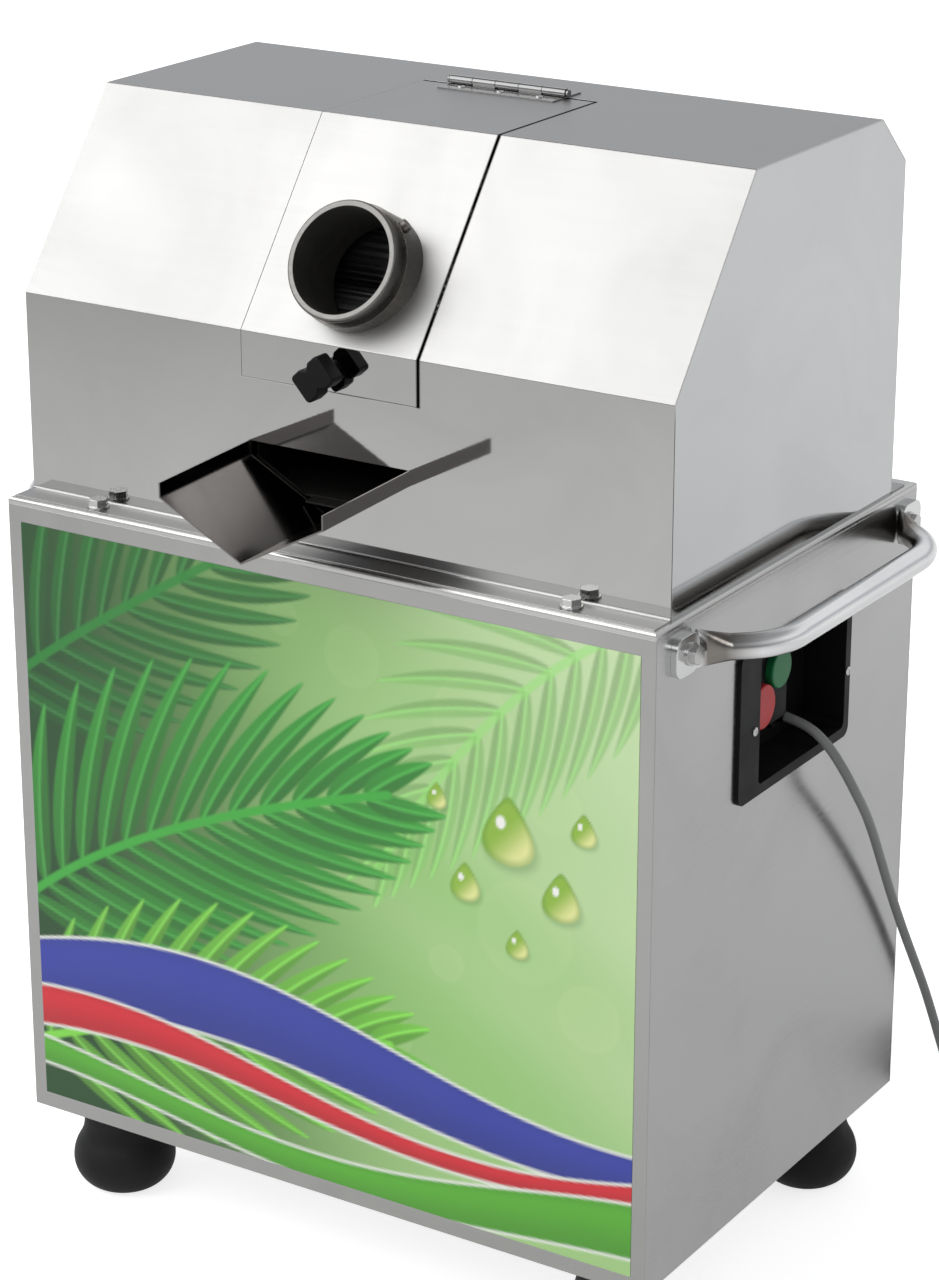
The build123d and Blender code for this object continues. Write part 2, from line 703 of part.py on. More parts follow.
def drive():
    # Motor in the cabinet, V-belt up through the deck, worm gearbox on the top roller's shaft.
    low = (drive_x, motor_z)
    high = (drive_x, worm_z)
    about_y = Rot(-90, 0, 0)
    pulley = about_y * grooved_pulley(motor_pulley_radius, motor_shaft_radius)
    save("motor_pulley", Pos(low[0], pulley_y, low[1]) * pulley)
    pulley = about_y * grooved_pulley(input_pulley_radius, input_shaft_radius)
    save("input_pulley", Pos(high[0], pulley_y, high[1]) * pulley)

    # The belt leaves each pulley where its straight runs touch both pitch circles.
    lean = (input_pulley_radius - motor_pulley_radius) / (high[1] - low[1])
    c = sqrt(1 - lean * lean)
    r0 = motor_pulley_radius
    r1 = input_pulley_radius
    right_low = (low[0] + r0 * c, low[1] - r0 * lean)
    right_high = (high[0] + r1 * c, high[1] - r1 * lean)
    left_low = (low[0] - r0 * c, right_low[1])
    left_high = (high[0] - r1 * c, right_high[1])
    loop = [Line(right_low, right_high), ThreePointArc(right_high, (high[0], high[1] + r1), left_high),
            Line(left_high, left_low), ThreePointArc(left_low, (low[0], low[1] - r0), right_low)]
    path = upright(pulley_y) * Wire(loop)
    back = 3
    section = Polyline((back, -belt_half(0)), (back, belt_half(0)), (back - belt_height, belt_half(belt_height)),
                       (back - belt_height, -belt_half(belt_height)), close=True)
    start = path.edges()[0]
    frame = Plane(origin=start @ 0, x_dir=Vector(c, 0, -lean), z_dir=start % 0)
    save("drive_belt", sweep(frame * make_face(section), path))

    nose = pulley_y - pulley_width / 2 - motor_nose
    front = nose - motor_nose
    tail = nose - motor_length
    fan_end = tail + motor_fan_band
    fins_end = front - motor_front_band
    casing = rod_y(low[0], tail, front, low[1], motor_radius - fin_height)
    for k in range(motor_fins):
        fin = box(-fin_thickness / 2, fin_thickness / 2, fan_end, fins_end, motor_radius - 1.5 * fin_height,
                  motor_radius)
        casing += Pos(low[0], 0, low[1]) * Rot(0, 360 / motor_fins * k, 0) * fin
    casing += rod_y(low[0], fins_end, front, low[1], motor_radius + motor_band_proud)
    casing += rod_y(low[0], tail, fan_end, low[1], motor_radius + motor_band_proud)
    casing += rod_y(low[0], front, nose, low[1], motor_nose_radius)

    # The motor's rails reach from the frame's right rail to as far on the other side of its axis.
    floor = base_z + base_thickness
    foot_half = half_width - sheet - angle_leg - motor_foot_gap - drive_x
    rail_y0 = fan_end + motor_band_proud
    rail_y1 = fins_end - motor_band_proud
    bolts = []
    for sx in (-1, 1):
        outer = low[0] + sx * foot_half
        inner = outer - sx * motor_rail
        strut_x = outer - sx * motor_strut_inset
        casing += box(min(outer, inner), max(outer, inner), rail_y0, rail_y1, floor, floor + motor_rail_height)
        casing += box(strut_x - motor_strut / 2, strut_x + motor_strut / 2, rail_y0 + motor_strut,
                      rail_y1 - motor_strut, floor, low[1] - motor_radius / 3)
        bolt_x = outer - sx * 2.5 * drive_bolt_radius
        for y in (rail_y0 + 4 * drive_bolt_radius, rail_y1 - 4 * drive_bolt_radius):
            casing -= rod_z(bolt_x, y, floor - 1, floor + motor_rail_height + 1, drive_bolt_radius + 0.2)
            seat = Plane((bolt_x, y, floor + motor_rail_height))
            bolts.append(hex_bolt(seat, drive_bolt_radius, motor_rail_height))
    sunk = motor_fan_band - 2 * fin_height
    casing -= rod_y(low[0], tail + sunk, nose + 1, low[1], motor_shaft_radius + running_clearance)
    save("motor_casing", casing)
    tip = pulley_y + pulley_width / 2 + 2
    save("motor_shaft", rod_y(low[0], tail + sunk + 1, tip, low[1], motor_shaft_radius))
    gearbox(bolts)


def gearbox(bolts):
    x0 = gearbox_x0 + gearbox_boss
    x1 = gearbox_x1 - gearbox_boss
    y0 = top_axis[0] - gearbox_length / 2
    y1 = top_axis[0] + gearbox_length / 2
    top = top_axis[1] + gearbox_over
    body = fillet(box(x0, x1, y0, y1, gearbox_bottom, top).edges(), gearbox_rounding)
    body += rod_x(gearbox_x0, gearbox_x1, top_axis, gearbox_boss_radius)

    # A snout carries the input shaft back to its pulley.
    snout_end = pulley_y - pulley_width / 2 - snout_gap
    body += rod_y(drive_x, y1 - gearbox_rounding, snout_end, worm_z, snout_radius)
    stand_y0 = y0 - stand_lip
    stand_y1 = y1 + stand_lip
    body += box(x0, x1, stand_y0, stand_y1, gearbox_bottom, gearbox_bottom + gearbox_foot)
    wall = stand_wall
    arch = [(stand_y0, deck_z), (stand_y0, gearbox_bottom), (stand_y1, gearbox_bottom), (stand_y1, deck_z),
            (stand_y1 - wall, deck_z), (stand_y1 - wall, gearbox_bottom - wall),
            (stand_y0 + wall, gearbox_bottom - wall), (stand_y0 + wall, deck_z)]
    stand = prism_x(arch, x0, x1)
    stand += box(x0, x1, stand_y0 - stand_foot, stand_y0, deck_z, deck_z + wall)
    stand += box(x0, x1, stand_y1, stand_y1 + stand_foot, deck_z, deck_z + wall)
    bolt_inset = 2.5 * drive_bolt_radius
    for bx in (x0 + bolt_inset, x1 - bolt_inset):
        for y in (stand_y0 - stand_foot + bolt_inset, stand_y1 + stand_foot - bolt_inset):
            stand -= rod_z(bx, y, deck_z - 1, deck_z + wall + 1, drive_bolt_radius + 0.2)
            bolts.append(hex_bolt(Plane((bx, y, deck_z + wall)), drive_bolt_radius, wall))
    body -= rod_x(gearbox_x0 - 1, gearbox_x1 + 1, top_axis, roller_shaft_radius + running_clearance)
    sunk = y0 + 2.5 * gearbox_rounding
    body -= rod_y(drive_x, sunk, snout_end + 2, worm_z, input_shaft_radius + running_clearance)
    save("gearbox", body)
    save("gearbox_stand", stand)
    save("drive_bolts", *bolts)
    tip = pulley_y + pulley_width / 2 + 2
    save("input_shaft", rod_y(drive_x, sunk + 1, tip, worm_z, input_shaft_radius))


def handles(hood_bolts):
    # A bowed tube with flattened ends, bolted high on each side panel.
    x0 = half_width
    bolt_z = deck_z - handle_bolt_drop
    thick = handle_flat_thickness
    ends = (front_y + handle_bolt_front, back_y - handle_bolt_back)
    corners = [Vector(x0 + handle_out, y + side * handle_leg, bolt_z) for y, side in zip(ends, (1, -1))]
    roots = [Vector(x0 + thick / 2, y + side * handle_flat_back, bolt_z) for y, side in zip(ends, (1, -1))]
    starts = [root + (corner - root).normalized() * handle_flare for root, corner in zip(roots, corners)]
    route = FilletPolyline(starts[0], *corners, starts[1], radius=handle_bend)
    tube = sweep(Plane(origin=route @ 0, z_dir=route % 0) * Circle(handle_radius), route)
    bolts = []
    for bolt_y, side, root, start, corner in zip(ends, (1, -1), roots, starts, corners):
        flat = Plane(origin=root, x_dir=(1, 0, 0), z_dir=(0, side, 0))
        bent = Plane(origin=start, x_dir=Vector(side * (corner - root).Y, -side * (corner - root).X, 0),
                     z_dir=corner - root)
        half = handle_flat_height / 2
        tube += loft([flat * Ellipse(thick / 2, half), bent * Circle(handle_radius)], ruled=True)
        y0, y1 = sorted((bolt_y - side * handle_flat_front, root.Y))
        pad = box(x0, x0 + thick, y0, y1, bolt_z - half, bolt_z + half)
        pad = fillet(pad.edges().filter_by(Axis.X), 0.3 * handle_flat_height)
        tube += pad
        tube -= rod_x(x0 - 1, x0 + thick + 1, (bolt_y, bolt_z), handle_bolt_radius + 0.2)
        seat = Plane((x0 + thick, bolt_y, bolt_z), z_dir=(1, 0, 0))
        bolts.append(hex_bolt(seat, handle_bolt_radius, thick + sheet))
    save("right_handle", tube)
    save("left_handle", mirror(tube, Plane.YZ))
    save("panel_bolts", *hood_bolts, *bolts, *[mirror(b, Plane.YZ) for b in bolts])


def switch():
    # A moulded box let into the right panel, with the switch block and the cord's gland on its floor.
    face = half_width
    y0 = front_y + box_y0
    y1 = front_y + box_y1
    z0 = base_z + box_z0
    z1 = base_z + box_z1
    in_y0 = y0 + box_strip_front
    in_y1 = y1 - box_strip
    in_z0 = z0 + box_strip
    in_z1 = z1 - box_strip
    floor = face + box_flange - box_depth
    flange = fillet(box(face, face + box_flange, y0, y1, z0, z1).edges().filter_by(Axis.X), 8)
    cup = box(floor - box_wall, face + 0.1, in_y0 - box_wall, in_y1 + box_wall, in_z0 - box_wall, in_z1 + box_wall)
    hollow = fillet(box(floor, face + 9, in_y0, in_y1, in_z0, in_z1).edges().filter_by(Axis.X), 5)
    gland_at = Plane((floor, front_y + gland_y, base_z + gland_z), z_dir=(1, 0, 0))
    shell = flange + cup - hollow - gland_at * Cylinder(8.2, 4 * box_wall)
    save("switch_box", shell)

    starts = [("start_button", front_y + start_y, base_z + start_z, start_radius)]
    starts.append(("stop_button", front_y + stop_y, base_z + stop_z, stop_radius))
    front = floor + switch_depth
    edge = 4
    block = box(floor, front, starts[1][1] - stop_radius - edge, starts[0][1] + start_radius + edge,
                starts[1][2] - stop_radius - edge, starts[0][2] + start_radius + edge)
    block = fillet(block.edges().filter_by(Axis.X), 4)
    for name, y, z, radius in starts:
        seat = front - button_proud
        block -= rod_x(seat - button_travel - 1.5, front + 1, (y, z), radius + button_clearance)
        button = rod_x(seat, front + button_proud, (y, z), radius)
        save(name, fillet(button.edges().sort_by(Axis.X)[-1], 1.5))
    save("switch_block", block)

    # The gland is a tapered sleeve through the box's floor, with a collar on each side of it.
    sleeve = Pos(0, 0, (gland_out - gland_in) / 2) * Cone(8, 4.7, gland_out + gland_in)
    collar = Pos(0, 0, 1.2) * Cylinder(10.5, 2.4)
    locknut = Pos(0, 0, -box_wall - 5) * extrude(RegularPolygon(11.5, 6), 5)
    save("cord_gland", gland_at * (sleeve + collar + locknut))
    return gland_at.origin + Vector(gland_out, 0, 0)


def arc_pair(p0, t0, p1, t1):
    # Two arcs that join two points along two directions.
    v = p1 - p0
    b = v.dot(t0 + t1)
    a = 2 * (1 - t0.dot(t1))
    d = v.dot(v) / (2 * b) if a < 1e-9 else (sqrt(b * b + a * v.dot(v)) - b) / a
    joint = (p0 + t0 * d + p1 - t1 * d) * 0.5
    first = TangentArc(p0, joint, tangent=t0)
    return [first, TangentArc(joint, p1, tangent=first % 1)]


def cord(start):
    # Out of the gland, back and down along the side panel to the floor, and then a coil by the rear corner.
    # The route is kept as a reach past the side panel, a step back and a share of the gland's height.
    lay = (cord_radius + tie_thickness + tie_clearance) / start.Z
    route = [(-5, 0, 0.9945), (11, 2, 0.967), (22, 9, 0.921), (26.5, 23, 0.867), (24.5, 44, 0.816),
             (20.5, 67, 0.757), (16.5, 90, 0.69), (13, 114, 0.615), (11, 138, 0.536), (10.3, 160, 0.462),
             (10.3, 180, 0.394), (10.6, 198, 0.33), (11.4, 214, 0.263), (13, 229, 0.192), (15.5, 243, 0.124),
             (17.5, 259, 0.061), (15.5, 278, lay + 0.014), (8.5, 296, lay), (0, 313, lay)]
    points = [start] + [Vector(half_width + x, start.Y + y, share * start.Z) for x, y, share in route]
    runs = [b - a for a, b in zip(points, points[1:])]
    radii = []
    for a, b in zip(runs, runs[1:]):
        turn = radians(a.get_angle(b))
        radii.append(0.45 * min(a.length, b.length) / tan(turn / 2))
    points[0] -= runs[0].normalized() * cord_radius
    route = FilletPolyline(*points, radius=radii)
    tube = sweep(Plane(origin=route @ 0, z_dir=route % 0) * RegularPolygon(cord_radius, cord_sides), route)
    section = RegularPolygon(cord_radius, cord_sides).area
    save("mains_cord", tube - Pos(start.X - 25, start.Y, start.Z) * Box(50, 50, 50))
    print("cord radii", [round(r) for r in radii], "smallest", round(min(radii)))
    print("cord volume over section times length", tube.volume / (section * route.length))
    coil(points[-1], (points[-1] - points[-2]).normalized(), route.length)


def coil(entry, heading, free_length):
    # Half turns spiral in to the right on the floor, climb a layer in one half turn, and spiral out again.
    # Their count is even, so the tail leaves beside the way in and goes on past the coil.
    flat = Vector(heading.X, heading.Y, 0).normalized()
    inward = Vector(flat.Y, -flat.X, 0)
    lead = entry + flat * (2 * cord_radius)
    centre_line = [Line(entry, lead)]
    at = lead
    radius = coil_radius
    side = 1
    lift = Vector(0, 0, coil_pitch)
    steps = [-coil_pitch / 2] * coil_half_turns + [coil_pitch / 2] * coil_half_turns
    for k, step in enumerate(steps):
        along = flat * side
        across = inward * side
        middle = at + across * radius + along * radius
        end = at + across * (2 * radius)
        if k == coil_half_turns:
            slope = Vector(0, 0, 1.5 * coil_pitch / (pi * radius))
            middle += lift * 0.5
            end += lift
            centre_line += arc_pair(at, along, middle, (across + slope).normalized())
            centre_line += arc_pair(middle, (across + slope).normalized(), end, along * -1)
        else:
            centre_line.append(ThreePointArc(at, middle, end))
        at = end
        radius += step
        side = -side
    heading = flat * side
    tail = at + heading * (0.85 * coil_radius)
    centre_line.append(Line(at, tail))
    path = Wire(centre_line)
    tube = sweep(Plane(origin=path @ 0, z_dir=path % 0) * RegularPolygon(cord_radius, cord_sides), path)
    save("cord_coil", tube)
    count = 400
    dots = [path @ (k / count) for k in range(count + 1)]
    reach = path.length / count
    apart = int(6 * cord_radius / reach)
    least = min((dots[i] - dots[j]).length for i in range(count + 1) for j in range(i + apart, count + 1))
    print("coil gap to itself", round(least - 2 * cord_radius, 2))
    print("cord length", round(free_length + path.length + plug_length))
    tie(lead + inward * coil_radius, inward)
    plug(tail, heading)


def tie(centre, inward):
    # A strap round the turns on the coil's near side, with room for their curve across its width.
    inmost = coil_radius - coil_half_turns * coil_pitch / 2
    curve = tie_width ** 2 / (8 * inmost)
    inside_w = (coil_half_turns + 1) / 2 * coil_pitch + 2 * cord_radius + 2 * tie_clearance + curve
    inside_h = 2 * cord_radius + coil_pitch + 2 * tie_clearance
    middle = centre + inward * (inside_w / 2 - coil_radius - cord_radius - tie_clearance)
    middle = Vector(middle.X, middle.Y, tie_thickness + inside_h / 2)
    ring = RectangleRounded(inside_w + 2 * tie_thickness, inside_h + 2 * tie_thickness, cord_radius)
    ring -= RectangleRounded(inside_w, inside_h, cord_radius - tie_thickness)
    along = Vector(inward.Y, -inward.X, 0)
    save("cord_tie", extrude(Plane(origin=middle, x_dir=inward, z_dir=along) * ring, tie_width / 2, both=True))


def plug(at, heading):
    # A moulded plug with three round pins.
    frame = Plane(origin=at, x_dir=Vector(-heading.Y, heading.X, 0), z_dir=heading)
    rear = RectangleRounded(2.6 * cord_radius, 2.6 * cord_radius, cord_radius)
    middle = Pos(0, 0, 0.45 * plug_length) * RectangleRounded(plug_width, plug_height, 7)
    body = loft([rear, middle], ruled=True)
    body += Pos(0, 0, 0.45 * plug_length) * extrude(RectangleRounded(plug_width, plug_height, 7), 0.55 * plug_length)
    for px, py, radius in ((-9, -4, 2.5), (9, -4, 2.5), (0, 6, 3.2)):
        body += Pos(px, py, plug_length + 9) * Cylinder(radius, 18)
    save("mains_plug", frame * body)


cabinet()
hood_bolts = hood()
lid()
hinge()
latch()
mill()
juice_path()
waste_chute()
drive()
handles(hood_bolts)
cord(switch())
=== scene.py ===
import json
import bpy
import numpy as np
from mathutils import Euler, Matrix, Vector


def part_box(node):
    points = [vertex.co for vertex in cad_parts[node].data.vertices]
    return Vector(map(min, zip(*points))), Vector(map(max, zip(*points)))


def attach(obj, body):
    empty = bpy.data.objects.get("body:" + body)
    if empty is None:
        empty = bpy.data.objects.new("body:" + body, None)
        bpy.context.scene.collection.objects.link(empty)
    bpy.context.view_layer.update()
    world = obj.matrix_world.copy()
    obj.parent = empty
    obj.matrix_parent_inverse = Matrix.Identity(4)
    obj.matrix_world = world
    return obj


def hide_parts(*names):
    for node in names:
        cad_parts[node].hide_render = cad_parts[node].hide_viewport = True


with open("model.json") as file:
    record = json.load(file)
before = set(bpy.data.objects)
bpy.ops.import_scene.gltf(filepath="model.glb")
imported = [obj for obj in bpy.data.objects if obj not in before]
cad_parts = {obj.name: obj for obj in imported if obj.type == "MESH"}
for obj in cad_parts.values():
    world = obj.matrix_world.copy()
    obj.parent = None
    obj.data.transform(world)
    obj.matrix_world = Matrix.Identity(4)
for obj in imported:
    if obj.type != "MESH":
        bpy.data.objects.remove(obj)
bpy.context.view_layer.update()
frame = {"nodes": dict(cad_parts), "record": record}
nodes = frame["nodes"]
scene = bpy.context.scene
scene.view_settings.view_transform = "Standard"
print("frame loaded:", len(nodes), "nodes")

# camera at the photo's viewing angle
photoView = {"place": (1.3761, -2.1432, 1.4053), "pitch": 69.77, "turn": 32.51, "lens": 99.76, "farClip": 60}
cameraData = bpy.data.cameras.new("photoCamera")
cameraData.lens = photoView["lens"]
cameraData.clip_end = photoView["farClip"]
camera = bpy.data.objects.new("photoCamera", cameraData)
camera.location = photoView["place"]
camera.rotation_euler = Euler(np.radians((photoView["pitch"], 0, photoView["turn"])))
scene.collection.objects.link(camera)
scene.camera = camera
print("camera placed")


# node: its named values go to its sockets, or else to its settings
def addNode(tree, kind, **values):
    node = tree.nodes.new(kind)
    for key, value in values.items():
        if key in node.inputs:
            node.inputs[key].default_value = value
        else:
            setattr(node, key, value)
    return node


def wire(tree, start, end):
    tree.links.new(start, end)


# feed: another node's output is wired to the socket, and a plain value is held by it
def feed(tree, value, socket):
    if isinstance(value, bpy.types.NodeSocket):
        wire(tree, value, socket)
    else:
        socket.default_value = value


def newGroup(name, ins, outs):
    group = bpy.data.node_groups.new(name, "ShaderNodeTree")
    for label, kind, value in ins:
        group.interface.new_socket(label, in_out="INPUT", socket_type=kind).default_value = value
    for label, kind in outs:
        group.interface.new_socket(label, in_out="OUTPUT", socket_type=kind)
    return group, addNode(group, "NodeGroupInput"), addNode(group, "NodeGroupOutput")


def useGroup(tree, group, **values):
    return addNode(tree, "ShaderNodeGroup", node_tree=group, **values)


def newMaterial(name):
    material = bpy.data.materials.new(name)
    material.use_nodes = True
    return material, material.node_tree, material.node_tree.nodes["Principled BSDF"]


def coordinate(tree, kind="Object"):
    return addNode(tree, "ShaderNodeTexCoord").outputs[kind]


# axes: a vector taken apart into its X, Y and Z
def axes(tree, vector):
    node = addNode(tree, "ShaderNodeSeparateXYZ")
    wire(tree, vector, node.inputs[0])
    return node.outputs


# joined: one math operation on outputs or numbers
def joined(tree, operation, *values):
    node = addNode(tree, "ShaderNodeMath", operation=operation)
    for value, socket in zip(values, node.inputs):
        feed(tree, value, socket)
    return node.outputs[0]


# vectored: one vector operation on outputs or triples, giving a number where the operation measures
def vectored(tree, operation, *values):
    node = addNode(tree, "ShaderNodeVectorMath", operation=operation)
    for value, socket in zip(values, node.inputs):
        feed(tree, value, socket)
    return node.outputs["Value" if operation in ("DOT_PRODUCT", "LENGTH") else "Vector"]


# map range: the source from low to high carried evenly to newLow to newHigh, and held at both ends
def mapRange(tree, source, low, high, newLow=0, newHigh=1):
    node = addNode(tree, "ShaderNodeMapRange")
    for slot, value in enumerate((source, low, high, newLow, newHigh)):
        feed(tree, value, node.inputs[slot])
    return node.outputs[0]


# mixed: low where the mask is 0 and high where it is 1, each a colour or an output that carries one
def mixed(tree, mask, low, high):
    node = addNode(tree, "ShaderNodeMix", data_type="RGBA")
    wire(tree, mask, node.inputs[0])
    for slot, colour in ((6, low), (7, high)):
        feed(tree, colour if isinstance(colour, bpy.types.NodeSocket) else (*colour, 1), node.inputs[slot])
    return node.outputs[2]


# bumped: the height's slope tilts the shader's normal, or the softened normal where one is given
def bumped(tree, shader, look, height, normal=None):
    bump = addNode(tree, "ShaderNodeBump", Strength=look["bump"], Distance=look["bumpDepth"])
    wire(tree, height, bump.inputs["Height"])
    if normal is not None:
        wire(tree, normal, bump.inputs["Normal"])
    wire(tree, bump.outputs[0], shader.inputs["Normal"])


patterns = {"fine": {"Scale": 2.4, "Detail": 5.0, "Roughness": 0.62},
            "cloud": {"Detail": 6.0, "Roughness": 0.55, "Distortion": 1.4}, "cloudCut": (0.42, 0.68),
            "mottle": {"Scale": 38.0, "Detail": 5.0, "Roughness": 0.6},
            "speck": {"Scale": 60.0, "Detail": 6.0, "Roughness": 0.7}, "speckCut": (0.35, 0.75),
            "edgeLean": (0.98, 0.8), "lookingUp": (0.1, 1), "sameFace": (0.93, 0.985)}

# brush grain: noise on stretched object coordinates, so that its streaks run along one axis
grainGroup, gIn, gOut = newGroup("brushGrain", [("Stretch", "NodeSocketVector", (4, 260, 260))],
                                 [("Grain", "NodeSocketFloat")])
fine = addNode(grainGroup, "ShaderNodeTexNoise", **patterns["fine"])
stretched = vectored(grainGroup, "MULTIPLY", coordinate(grainGroup), gIn.outputs["Stretch"])
wire(grainGroup, stretched, fine.inputs["Vector"])
wire(grainGroup, fine.outputs[0], gOut.inputs["Grain"])

# hand marks: a slow noise folded by its own distortion, cut to cloudy patches
marksGroup, gIn, gOut = newGroup("handMarks", [("Scale", "NodeSocketFloat", 5.0)],
                                 [("Marks", "NodeSocketFloat")])
cloud = addNode(marksGroup, "ShaderNodeTexNoise", **patterns["cloud"])
wire(marksGroup, coordinate(marksGroup), cloud.inputs["Vector"])
wire(marksGroup, gIn.outputs["Scale"], cloud.inputs["Scale"])
wire(marksGroup, mapRange(marksGroup, cloud.outputs[0], *patterns["cloudCut"]), gOut.inputs["Marks"])

# soft edge: the rounded normal of a sharp sheet edge, and how far it leans from the flat one
edgeGroup, gIn, gOut = newGroup("softEdge", [("Radius", "NodeSocketFloat", 0.0008)],
                                [("Normal", "NodeSocketVector"), ("Wear", "NodeSocketFloat")])
bevel = addNode(edgeGroup, "ShaderNodeBevel", samples=4)
flat = addNode(edgeGroup, "ShaderNodeNewGeometry")
lean = vectored(edgeGroup, "DOT_PRODUCT", bevel.outputs[0], flat.outputs["Normal"])
wire(edgeGroup, gIn.outputs["Radius"], bevel.inputs["Radius"])
wire(edgeGroup, bevel.outputs[0], gOut.inputs["Normal"])
wire(edgeGroup, mapRange(edgeGroup, lean, *patterns["edgeLean"]), gOut.inputs["Wear"])

# mould grain: fine pebbles from a voronoi field over a cloudy mottle
mouldGroup, gIn, gOut = newGroup("mouldGrain", [("Scale", "NodeSocketFloat", 900.0)],
                                 [("Height", "NodeSocketFloat"), ("Mottle", "NodeSocketFloat")])
pebble = addNode(mouldGroup, "ShaderNodeTexVoronoi")
mottle = addNode(mouldGroup, "ShaderNodeTexNoise", **patterns["mottle"])
wire(mouldGroup, gIn.outputs["Scale"], pebble.inputs["Scale"])
for node in (pebble, mottle):
    wire(mouldGroup, coordinate(mouldGroup), node.inputs["Vector"])
wire(mouldGroup, pebble.outputs["Distance"], gOut.inputs["Height"])
wire(mouldGroup, mottle.outputs[0], gOut.inputs["Mottle"])

# dust: gathers on faces that look up, broken by noise
dustGroup, gIn, gOut = newGroup("dustFilm", [("Amount", "NodeSocketFloat", 0.5)],
                                [("Dust", "NodeSocketFloat")])
facing = axes(dustGroup, addNode(dustGroup, "ShaderNodeNewGeometry").outputs["Normal"])
speck = addNode(dustGroup, "ShaderNodeTexNoise", **patterns["speck"])
wire(dustGroup, coordinate(dustGroup), speck.inputs["Vector"])
settled = joined(dustGroup, "MULTIPLY", mapRange(dustGroup, facing["Z"], *patterns["lookingUp"]),
                 mapRange(dustGroup, speck.outputs[0], *patterns["speckCut"]))
wire(dustGroup, joined(dustGroup, "MULTIPLY", settled, gIn.outputs["Amount"]), gOut.inputs["Dust"])
print("node groups made")


# face mask: 1 where the face leans as the given normal does
def faceMask(tree, normal):
    lean = vectored(tree, "DOT_PRODUCT", coordinate(tree, "Normal"), normal)
    return mapRange(tree, lean, *patterns["sameFace"])


# throat shade mask: 1 inside the gutter's section, above the slanting lines of its vee and below its lips'
# tops, where painted shade goes
def throatShadeMask(tree, place, throat):
    soft = throat["soft"]
    aside = joined(tree, "ABSOLUTE", joined(tree, "SUBTRACT", place["X"], throat["middle"]))
    rise = joined(tree, "SUBTRACT", place["Z"], joined(tree, "MULTIPLY", aside, throat["slope"]))
    within = joined(tree, "MULTIPLY", mapRange(tree, aside, throat["half"], throat["half"] + soft, 1, 0),
                    mapRange(tree, place["Z"], throat["top"], throat["top"] + soft, 1, 0))
    return joined(tree, "MULTIPLY", within, mapRange(tree, rise, throat["vee"] - soft, throat["vee"]))


# seam mask: 1 on the narrow borders along the lid's right gap, above the lid's sill and before its hinge
def seamMask(tree, place, seam):
    aside = joined(tree, "ABSOLUTE", joined(tree, "SUBTRACT", place["X"], seam["at"]))
    along = joined(tree, "MULTIPLY", mapRange(tree, place["Z"], *seam["above"]),
                   mapRange(tree, place["Y"], *seam["before"], 1, 0))
    return joined(tree, "MULTIPLY", along, mapRange(tree, aside, *seam["half"], 1, 0))


# wall shade mask: 1 on the cut edges and the inner side of the hood's upright wall, and in the gutter's
# throat, where painted shade darkens the sheet
def wallShadeMask(tree, place, look):
    inside = look["inside"]
    behind = joined(tree, "MULTIPLY", mapRange(tree, place["Y"], *inside["from"]),
                    mapRange(tree, place["Z"], *inside["under"], 1, 0))
    shaded = joined(tree, "MAXIMUM", behind, throatShadeMask(tree, place, look["throat"]))
    return joined(tree, "MULTIPLY", shaded, mapRange(tree, place["Y"], *inside["to"], 1, 0))


# inward shade mask: 1 where a side handle's surface leans to the cabinet's middle, and along its neck by the
# pads, where painted shade goes
def inwardShadeMask(tree, shade):
    place = axes(tree, coordinate(tree))
    lean = axes(tree, coordinate(tree, "Normal"))
    inner = mapRange(tree, joined(tree, "MULTIPLY", place["X"], lean["X"]), *shade["lean"])
    aside = joined(tree, "ABSOLUTE", place["X"])
    neck = joined(tree, "MULTIPLY", mapRange(tree, aside, *shade["from"]),
                  mapRange(tree, aside, *shade["to"], 1, 0))
    return joined(tree, "MAXIMUM", inner, neck)


# metals: brushed grain in roughness and bump, cloudy hand marks in colour, bright worn edges
metalBase = {"marks": 5.0, "markGain": 0.93, "edge": 0.0008, "wear": 1.1, "smear": 0.05, "satin": (),
             "grainSpan": (0.3, 0.7), "bump": 0.04, "bumpDepth": 0.0004}


def metal(name, special):
    look = {**metalBase, **special}
    material, tree, shader = newMaterial(name)
    grain = useGroup(tree, grainGroup, Stretch=look["stretch"]).outputs["Grain"]
    marks = useGroup(tree, marksGroup, Scale=look["marks"]).outputs["Marks"]
    edge = useGroup(tree, edgeGroup, Radius=look["edge"])
    shader.inputs["Metallic"].default_value = 1
    colour = mixed(tree, marks, look["tone"], [look["markGain"] * c for c in look["tone"]])
    colour = mixed(tree, edge.outputs["Wear"], colour, [min(1, look["wear"] * c) for c in look["tone"]])
    streak = mapRange(tree, grain, *look["grainSpan"], *look["rough"])
    rough = joined(tree, "MULTIPLY_ADD", marks, look["smear"], streak)
    for normal, more in look["satin"]:  # duller on the slanted front and the top
        rough = joined(tree, "ADD", rough, joined(tree, "MULTIPLY", faceMask(tree, normal), more))
    wire(tree, rough, shader.inputs["Roughness"])
    if "flat" in look:  # painted light: a darker tone on the hood's top as painted shade, and a lighter one on the hinge leaf's top as painted highlight
        colour = mixed(tree, faceMask(tree, look["flat"]["normal"]), colour, look["flat"]["tone"])
    if "inside" in look:  # darker along the lid's seam, and painted shade on the wall's cut edges, its inner side and the gutter's throat
        place = axes(tree, coordinate(tree))
        colour = mixed(tree, seamMask(tree, place, look["seam"]), colour, look["seam"]["tone"])
        colour = mixed(tree, wallShadeMask(tree, place, look), colour, look["inside"]["tone"])
    if "shade" in look:  # painted shade: darker towards the cabinet and beside the flattened ends
        colour = mixed(tree, inwardShadeMask(tree, look["shade"]), colour, look["shade"]["tone"])
    wire(tree, colour, shader.inputs["Base Color"])
    bumped(tree, shader, look, grain, edge.outputs["Normal"])
    return material
